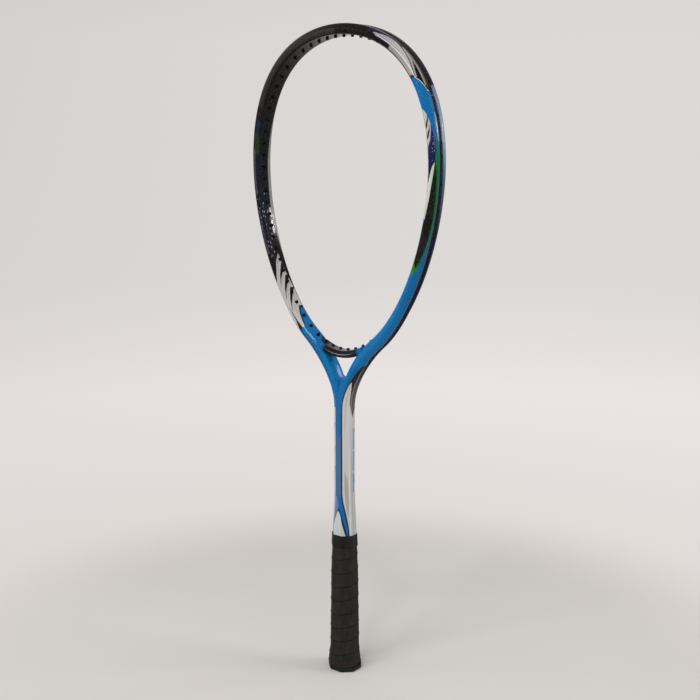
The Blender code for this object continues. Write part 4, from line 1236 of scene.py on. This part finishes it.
def foamFinish():
    sheet, look = Finish("foamFinish"), foamLook
    cells = sheet.cells(sheet.objectPlace(), look["cells"])
    mask = sheet.ramped(cells, *look["cellRange"])
    base = sheet.over(colour(look["shade"]), colour(look["darker"]), mask)
    sheet.set(baseColor=base, roughness=look["roughness"], normal=sheet.bump(cells, *look["bump"]))
    return sheet.material


def steelFinish():
    sheet, look = Finish("steelFinish"), steelLook
    brushed = sheet.noise(sheet.scaled(sheet.objectPlace(), look["brushed"]), 1.0, look["detail"])
    base = sheet.over(colour(look["shade"]), colour(look["darker"]), sheet.ramped(brushed, *grainRange))
    sheet.set(baseColor=base, metallic=1.0,
              roughness=sheet.ramped(brushed, *grainRange, *look["roughness"]),
              normal=sheet.bump(brushed, *look["bump"]))
    return sheet.material


nylon, capPlastic, collarRubber = [darkPlastic(name, *facts) for name, facts in plastics.items()]
print("materials made")


# the frame, its bridge and its grommets

hoop = hoopStations()
arms = armStations(hoop[-1].along)
upper = hoop + arms
stations = upper + shaftStations(upper[-1].along)
tip, sides, shoulder, inBridge = findHoles(upper)

edit = bmesh.new()
tubeQuarter(edit, stations)
mirrorQuarter(edit)
frameTube = meshObject("frameTube", edit, framePaint())
stringHoles = bars("stringHoles", bothSides(tip + sides + shoulder), holes["radius"],
                   lambda h: -h.depth - holes["past"], lambda h: h.floor + holes["pastGroove"],
                   holes["sides"])
booleanWith(frameTube, stringHoles, "DIFFERENCE")
finishPiece(frameTube, ["frame_tube"])

spans = []
lowerArc = eggArc(0.0, pi)
steps = round(bridge["halfLength"] / bridge["step"])
for i in range(steps + 1):
    offset = bridge["halfLength"] * i / steps
    angle = angleAt(lowerArc[1][-1] - offset, lowerArc)
    half = tubeAt(angle) / 2
    span = Station(offset, egg(angle), eggNormal(angle), bridge["thickness"] - half, -half,
                   bridge["beam"], bridge["chamfer"], bridge["grooveDepth"])
    spans.append(span)

edit = bmesh.new()
tubeQuarter(edit, spans)
mirrorQuarter(edit)
yokeBridge = meshObject("yokeBridge", edit, bridgePaint())
bridgeHoles = bars("bridgeHoles", bothSides(inBridge + shoulder), holes["radius"],
                   lambda h: -h.depth - holes["past"], lambda h: bridge["thickness"], holes["sides"])
booleanWith(yokeBridge, bridgeHoles, "DIFFERENCE")
finishPiece(yokeBridge, ["yoke_bridge"])

crosses = grommets["headCrosses"]
headEnd = (sides[crosses - 1].along + sides[crosses].along) / 2
sideEnd = (sides[-1].along + shoulder[0].along) / 2
halfGap = grommets["gap"] / 2
headStrip = stripObject("headGrommetStrip", upper, 0.0, headEnd - halfGap, tip + sides[:crosses],
                        nylon, halves=True)
rightStrip = stripObject("rightSideGrommetStrip", upper, headEnd + halfGap, sideEnd - halfGap,
                         sides[crosses:], nylon)
shoulderStrip = stripObject("rightShoulderGrommetStrip", upper, sideEnd + halfGap,
                            shoulder[-1].along + grommets["margin"], shoulder, nylon)
leftStrip = mirroredPiece(rightStrip, "leftSideGrommetStrip", nylon)
leftShoulderStrip = mirroredPiece(shoulderStrip, "leftShoulderGrommetStrip", nylon)
yokeStrip = stripObject("yokeGrommetStrip", spans, 0.0, inBridge[-1].along + grommets["bridgeMargin"],
                        inBridge, nylon, halves=True)
for made, node in ((headStrip, "head_grommet_strip"), (rightStrip, "right_side_grommet_strip"),
                   (shoulderStrip, "right_shoulder_grommet_strip"), (leftStrip, "left_side_grommet_strip"),
                   (leftShoulderStrip, "left_shoulder_grommet_strip"), (yokeStrip, "yoke_grommet_strip")):
    finishPiece(made, [node])


# handle: wound tape, collar, butt cap and its cover

corner = {"count": 96, "plain": 0.018, "cap": 0.012, "tape": 0.022, "sharpness": 7}


def octagonPoint(turn, width, extra, height, soft):
    # point of a wide octagon with softened corners
    side = round(turn / (pi / 4))
    off = turn - side * pi / 4
    reach = 1 / cos(off) - soft * abs(off / (pi / 8)) ** corner["sharpness"]
    return Vector(((width * grip["wide"] / 2 + extra) * reach * cos(turn),
                   (width * grip["deep"] / 2 + extra) * reach * sin(turn), height))


def octagonRing(width, height, extra=0.0, kind="plain"):
    count = corner["count"]
    return [octagonPoint(pi / 8 + i * 2 * pi / count, width, extra, height, corner[kind])
            for i in range(count)]


cap = {
    "height": 0.0255,
    "rimWidth": 0.0344,
    "rimHeight": 0.0052,
    "flareWidth": 0.0314,
    "waistWidth": 0.0297,
    "waistHeight": 0.0165,
    "footWidth": 0.0308,
    "footRound": 0.0024,
    "footSteps": 5,
    "floor": 0.0042,
    "doorWidth": 0.0176,
    "tenon": 0.0246,
    "seat": 0.0003,
    "edge": 0.0005,
    "edgeSteps": ((0.0, 1.0), (0.6, 0.3), (2.0, 0.0)),  # inset and drop of the rim's top, in edges
}

door = {
    "lip": 0.0032,              # how much wider its flange is than the opening
    "flange": 0.0012,
    # from the middle out: share of the door's width and height above the foot
    "face": ((0.34, 0.0011), (0.72, 0.0011), (0.76, 0.0009), (0.78, 0.0006), (0.82, 0.0005)),
    "rim": ((0.0006, 0.0005), (0.0001, 0.0007), (0.0, 0.0011)),     # inset and height
    "notch": {"radius": 0.0032, "length": 0.0060, "height": -0.0012, "sides": 24},
}

tape = {
    "thickness": 0.0012,
    "ridge": 0.00045,
    "pitch": 0.0155,
    "turnGap": 0.0005,
    "ridgeWidth": 0.0032,
    "tipWidth": 0.0020,
    "stepsPerTurn": 72,
    "seat": 0.0003,
    "edge": 0.00015,
    "wave": 0.00012,
    "least": 0.001,
    "foot": 0.15,               # shares of the ridge's height at its start, behind its edge and at its end
    "rise": 0.62,
    "end": 0.22,
    "lap": ((0.2, 0.93), (0.42, 1.0), (0.72, 0.62)),    # share of the ridge's width and of its height
    "face": ((0.18, 0.4), (0.55, 1.0)),                 # share of the flat part's width and of the wave
    "uneven": 0.14,
    "unevenRates": (2.3, 0.71),
    "waveRate": 1.7,
    "waveStart": 0.6,
    "sharpAngle": radians(50),
}

collar = {
    "overTape": 0.0060,
    "overPaint": 0.0075,
    "wall": 0.0006,
    "round": 0.0004,
    "inside": 0.0018,           # clear of the tape
    "bevel": 0.0002,
    "start": 0.0003,
    "steps": 8,
    "swell": 1.15,              # it has drawn in to the shaft before its upper edge
    "roundSteps": 3,
}


def coreWidth(height):
    shoulderHeight = racket["shoulderHeight"]
    heights = [cap["rimHeight"], cap["waistHeight"], cap["height"], shoulderHeight - grip["lowKneeDrop"],
               shoulderHeight - grip["highKneeDrop"], shoulderHeight]
    widths = [cap["flareWidth"], cap["waistWidth"], grip["baseWidth"], grip["lowKneeWidth"],
              grip["highKneeWidth"], grip["topWidth"]]
    return float(np.interp(height, heights, widths))


def buildTape():
    top = racket["shoulderHeight"] - tape["seat"]
    bottom = cap["rimHeight"] + cap["seat"]
    width = tape["pitch"] - tape["turnGap"]
    skin = tape["seat"] + tape["thickness"]
    collarBottom = racket["shoulderHeight"] - collar["overTape"]
    rings, marks = [], []
    step = 0
    while True:
        turn = pi / 8 + step * 2 * pi / tape["stepsPerTurn"]
        middle = bottom - width / 2 + tape["tipWidth"] + tape["pitch"] * step / tape["stepsPerTurn"]
        low = max(middle - width / 2, bottom)
        high = min(middle + width / 2, top)
        step += 1
        if high - low < tape["tipWidth"] - mergeDistance:
            break
        ridgeEnd = min(low + tape["ridgeWidth"], (low + high) / 2)
        clear = clamp((collarBottom - ridgeEnd) / tape["ridgeWidth"])
        # the overlap is uneven from turn to turn, and the face beside it a little wavy
        fast, slow = [sin(turn * rate) for rate in tape["unevenRates"]]
        ridge = tape["ridge"] * clear * (1 - tape["uneven"] + tape["uneven"] * fast * slow)
        wave = tape["wave"] * sin(turn * tape["waveRate"] + tape["waveStart"]) * clear
        section = [(low, tape["seat"]), (low, skin + ridge * tape["foot"]),
                   (low + tape["edge"], skin + ridge * tape["rise"])]
        section += [(mix(low, ridgeEnd, across), skin + ridge * share) for across, share in tape["lap"]]
        section.append((ridgeEnd, skin + ridge * tape["end"]))
        section += [(mix(ridgeEnd, high, across), skin + wave * share) for across, share in tape["face"]]
        section += [(high, skin), (high, tape["seat"])]
        rings.append([octagonPoint(turn, coreWidth(h), e, h, corner["tape"]) for h, e in section])
        wide = max(high - low, tape["least"])
        marks.append([(step / tape["stepsPerTurn"], (h - low) / wide) for h, e in section])
    edit = bmesh.new()
    rows = loft(edit, rings, capStart=True, capEnd=True)
    setMap(edit, "wrap", {vert: mark for row, places in zip(rows, marks) for vert, mark in zip(row, places)})
    bmesh.ops.recalc_face_normals(edit, faces=edit.faces)
    return meshObject("gripTape", edit, tapeFinish())


def sleeve(name, rings, finish):
    # rings from outside bottom over the top and back down inside, joined into one closed wall
    edit = bmesh.new()
    loft(edit, rings + rings[:1])
    tidyMesh(edit)
    return meshObject(name, edit, finish)


def buildCollar():
    inside = collar["inside"]
    outside = inside + collar["wall"]
    rounding = collar["round"]
    narrow = grip["topWidth"]
    low = racket["shoulderHeight"] - collar["overTape"]
    high = racket["shoulderHeight"] + collar["overPaint"]
    below = coreWidth(low)
    places = [(below, low, inside), (below, low, outside - collar["bevel"])]
    for i in range(collar["steps"] + 1):
        share = i / collar["steps"]
        places.append((mix(below, narrow, ease(share * collar["swell"])),
                       mix(low + collar["start"], high - rounding, share), outside))
    for i in range(1, collar["roundSteps"] + 1):
        turn = pi / 2 * i / collar["roundSteps"]
        places.append((narrow, high - rounding * (1 - sin(turn)), outside - rounding * (1 - cos(turn))))
    places += [(narrow, high, inside), (narrow, racket["shoulderHeight"], inside)]
    return sleeve("gripCollar", [octagonRing(*place, "tape") for place in places], collarRubber)


def buildCap():
    mortise = cap["tenon"] + 2 * cap["seat"]
    opening = cap["doorWidth"] + 2 * cap["seat"]
    foot, rim, edge = cap["footWidth"], cap["rimWidth"], cap["edge"]
    rings = [octagonRing(opening, 0.0), octagonRing(foot, 0.0)]
    lower = []
    for i in range(1, cap["footSteps"] + 1):
        turn = pi / 2 * i / cap["footSteps"]
        lower.append((mix(foot, rim, sin(turn)), cap["footRound"] * (1 - cos(turn))))
    lower += [(rim - edge * inset, cap["rimHeight"] - edge * drop) for inset, drop in cap["edgeSteps"]]
    lower.append((cap["flareWidth"], cap["rimHeight"]))
    rings += [octagonRing(width, height, 0.0, "cap") for width, height in lower]
    upper = [(cap["waistWidth"], cap["waistHeight"]), (grip["baseWidth"], cap["height"]),
             (mortise, cap["height"]), (mortise, cap["floor"]), (opening, cap["floor"])]
    rings += [octagonRing(width, height) for width, height in upper]
    return sleeve("buttCap", rings, capPlastic)


def buildDoor():
    # blank cover with a raised rim and a shallow finger notch across it
    width = cap["doorWidth"]
    shelf = cap["floor"] + cap["seat"]
    flange = width + 2 * cap["seat"] + door["lip"]
    rings = [octagonRing(width * share, height) for share, height in door["face"]]
    rings += [octagonRing(width - inset, height) for inset, height in door["rim"]]
    rings += [octagonRing(width, shelf), octagonRing(flange, shelf),
              octagonRing(flange, shelf + door["flange"])]
    edit = bmesh.new()
    loft(edit, rings, capStart=True, capEnd=True)
    tidyMesh(edit)
    made = meshObject("buttDoor", edit, capPlastic)
    size = door["notch"]
    place = Matrix.Translation((0.0, 0.0, size["height"])) @ Matrix.Rotation(pi / 2, 4, "X")
    notch = bmesh.new()
    bmesh.ops.create_cone(notch, cap_ends=True, segments=size["sides"], radius1=size["radius"],
                          radius2=size["radius"], depth=size["length"], matrix=place)
    booleanWith(made, cutter("doorNotch", notch), "DIFFERENCE")
    return made


finishPiece(buildTape(), ["grip_tape"], tape["sharpAngle"])
finishPiece(buildCollar(), ["grip_collar"])
finishPiece(buildCap(), ["butt_cap"])
finishPiece(buildDoor(), ["butt_door"])

foam = foamFinish()
steel = steelFinish()
carried = (("handle_foam", foam, "handle_foam"), ("shaft_end_plug", foam, "handle_foam"),
           ("butt_cap_staple_front", steel, "staple_steel"), ("butt_cap_staple_back", steel, "staple_steel"))
for name, finish, slotName in carried:
    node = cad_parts[name]
    node.data.materials.clear()
    node.data.materials.append(finish)
print("handle made")


# floor, light and camera

studio = {
    "nearFloor": "e1deda",      # the lit part round the racket, which takes its shadow
    "nearReach": 0.34,
    "nearSoft": 0.26,
    "floorReach": 1.5,
    "wallReach": 4.6,
    "wallHeight": 4.4,
    "reachShown": 4.6,
    "backdrop": [(0.0, "d8d4d0"), (0.6, "e2dcd9"), (1.2, "e8e3e1"), (1.5, "eae5e3"), (1.9, "e4dfdc"),
                 (2.3, "ddd9d6"), (3.4, "ddd9d6"), (3.7, "d6d2cf")],
    "floorSides": 96,
    "sweepSteps": 14,
    "cloud": "dad6d3",
    "cloudScale": 3.0,
    "cloudStrength": 0.4,
    "grain": 400.0,
    "bump": (0.05, 0.0005),
    "roughness": 0.9,
    "dim": "c8c3c0",            # the backdrop goes darker towards the camera's left
    "dimStrength": 0.48,
    "dimFrom": -2.2,
    "dimTo": 0.5,
    "cameraRight": (0.777, 0.629),
    "sky": 0.52,
    "skyShade": "f2f1f0",
}

warm = (1.0, 0.99, 0.98)
cool = (0.98, 0.99, 1.0)
lamps = {                       # place, height of what it is aimed at on the axis, size, power, tint
    "rearRightSoftbox": ((1.4, 1.99, 1.06), 0.45, (0.24, 0.17), 4.0, warm),
    "rightSoftbox": ((1.9, 1.15, 1.5), 0.30, (0.9, 0.9), 15.0, warm),
    "frontLeftSoftbox": ((-0.2, -1.9, 1.6), 0.30, (1.1, 1.1), 19.0, warm),
    "aboveSoftbox": ((0.42, -1.0, 1.75), 0.40, (0.28, 0.28), 5.5, warm),
    "leftFill": ((-1.7, -1.5, 1.6), 0.35, (1.3, 1.6), 6.0, cool),
}


def buildFloor():
    # round floor that sweeps up into a wall all round
    edit = bmesh.new()
    inner, outer = studio["floorReach"], studio["wallReach"]
    bmesh.ops.create_circle(edit, cap_ends=True, segments=studio["floorSides"], radius=inner)
    edges = [e for e in edit.edges if e.is_boundary]
    steps = studio["sweepSteps"]
    for i in range(1, steps + 1):
        turn = pi / 2 * i / steps
        fresh = bmesh.ops.extrude_edge_only(edit, edges=edges)["geom"]
        edges = [g for g in fresh if isinstance(g, bmesh.types.BMEdge)]
        verts = [g for g in fresh if isinstance(g, bmesh.types.BMVert)]
        radius = mix(inner, outer, sin(turn))
        height = studio["wallHeight"] * (1 - cos(turn))
        for vert in verts:
            flat = Vector((vert.co.x, vert.co.y)).normalized() * radius
            vert.co = (flat.x, flat.y, height)
    sheet = Finish("floorFinish")
    place = sheet.objectPlace()
    cloud = sheet.noise(place, studio["cloudScale"])
    base = sheet.over(colour(studio["nearFloor"]), colour(studio["cloud"]),
                      sheet.ramped(cloud, *grainRange) * studio["cloudStrength"])
    sheet.set(baseColor=base, roughness=studio["roughness"],
              normal=sheet.bump(sheet.noise(place, studio["grain"]), *studio["bump"]))
    # further out the paper shows its own even shade to the eye and in reflections, and adds no light
    x, y = sheet.parts(place)[:2]
    radius = (x * x + y * y) ** 0.5
    stops = [(reach / studio["reachShown"], colour(code)) for reach, code in studio["backdrop"]]
    shade = sheet.node("ShaderNodeValToRGB", {"stops": stops}, {"Fac": radius / studio["reachShown"]})
    rightX, rightY = studio["cameraRight"]
    toRight = sheet.ramped(x * rightX + y * rightY, studio["dimFrom"], studio["dimTo"])
    shade = sheet.over(shade, colour(studio["dim"]), (1 - toRight) * studio["dimStrength"])
    paper = sheet.node("ShaderNodeEmission", None, {"Color": shade, "Strength": 1.0})
    seen = sum(sheet.node("ShaderNodeLightPath", None, None, way)
               for way in ("Is Camera Ray", "Is Glossy Ray", "Is Transmission Ray"))
    far = sheet.ramped(radius, studio["nearReach"], studio["nearReach"] + studio["nearSoft"])
    blended = sheet.node("ShaderNodeMixShader", None,
                         {0: seen * far, 1: Value(sheet, sheet.shader.outputs[0]), 2: paper})
    sheet.put(sheet.output.inputs["Surface"], blended)
    floor = meshObject("studioFloor", edit, sheet.material)
    floor.data.shade_smooth()


def softLamp(name, place, aimHeight, size, power, tint):
    lamp = bpy.data.lights.new(name, "AREA")
    lamp.shape = "RECTANGLE"
    lamp.size, lamp.size_y = size
    lamp.energy = power
    lamp.color = tint
    made = bpy.data.objects.new(name, lamp)
    made.location = place
    made.rotation_mode = "QUATERNION"
    made.rotation_quaternion = (Vector((0.0, 0.0, aimHeight)) - Vector(place)).to_track_quat("-Z", "Y")
    bpy.context.scene.collection.objects.link(made)


buildFloor()
for name, facts in lamps.items():
    softLamp(name, *facts)

world = bpy.data.worlds.new("studio")
bpy.context.scene.world = world
world.use_nodes = True
sky = world.node_tree.nodes["Background"].inputs
sky["Color"].default_value = colour(studio["skyShade"])
sky["Strength"].default_value = studio["sky"]

view = {
    "place": (0.77012, -0.95280, 0.58146),
    "azimuth": 38.947,
    "pitch": 10.423,
    "roll": 0.077,
    "lens": 60.667,
    "shift": (0.0084, 0.0007),
    "sensor": 36.0,
}
cameraData = bpy.data.cameras.new("camera")
cameraData.lens = view["lens"]
cameraData.sensor_width = view["sensor"]
cameraData.shift_x, cameraData.shift_y = view["shift"]
camera = bpy.data.objects.new("camera", cameraData)
bpy.context.scene.collection.objects.link(camera)
camera.location = view["place"]
camera.rotation_mode = "XYZ"
camera.rotation_euler = (radians(90 - view["pitch"]), radians(view["roll"]), radians(view["azimuth"]))
bpy.context.scene.camera = camera
bpy.context.scene.view_settings.view_transform = "Standard"

print("scene ready")
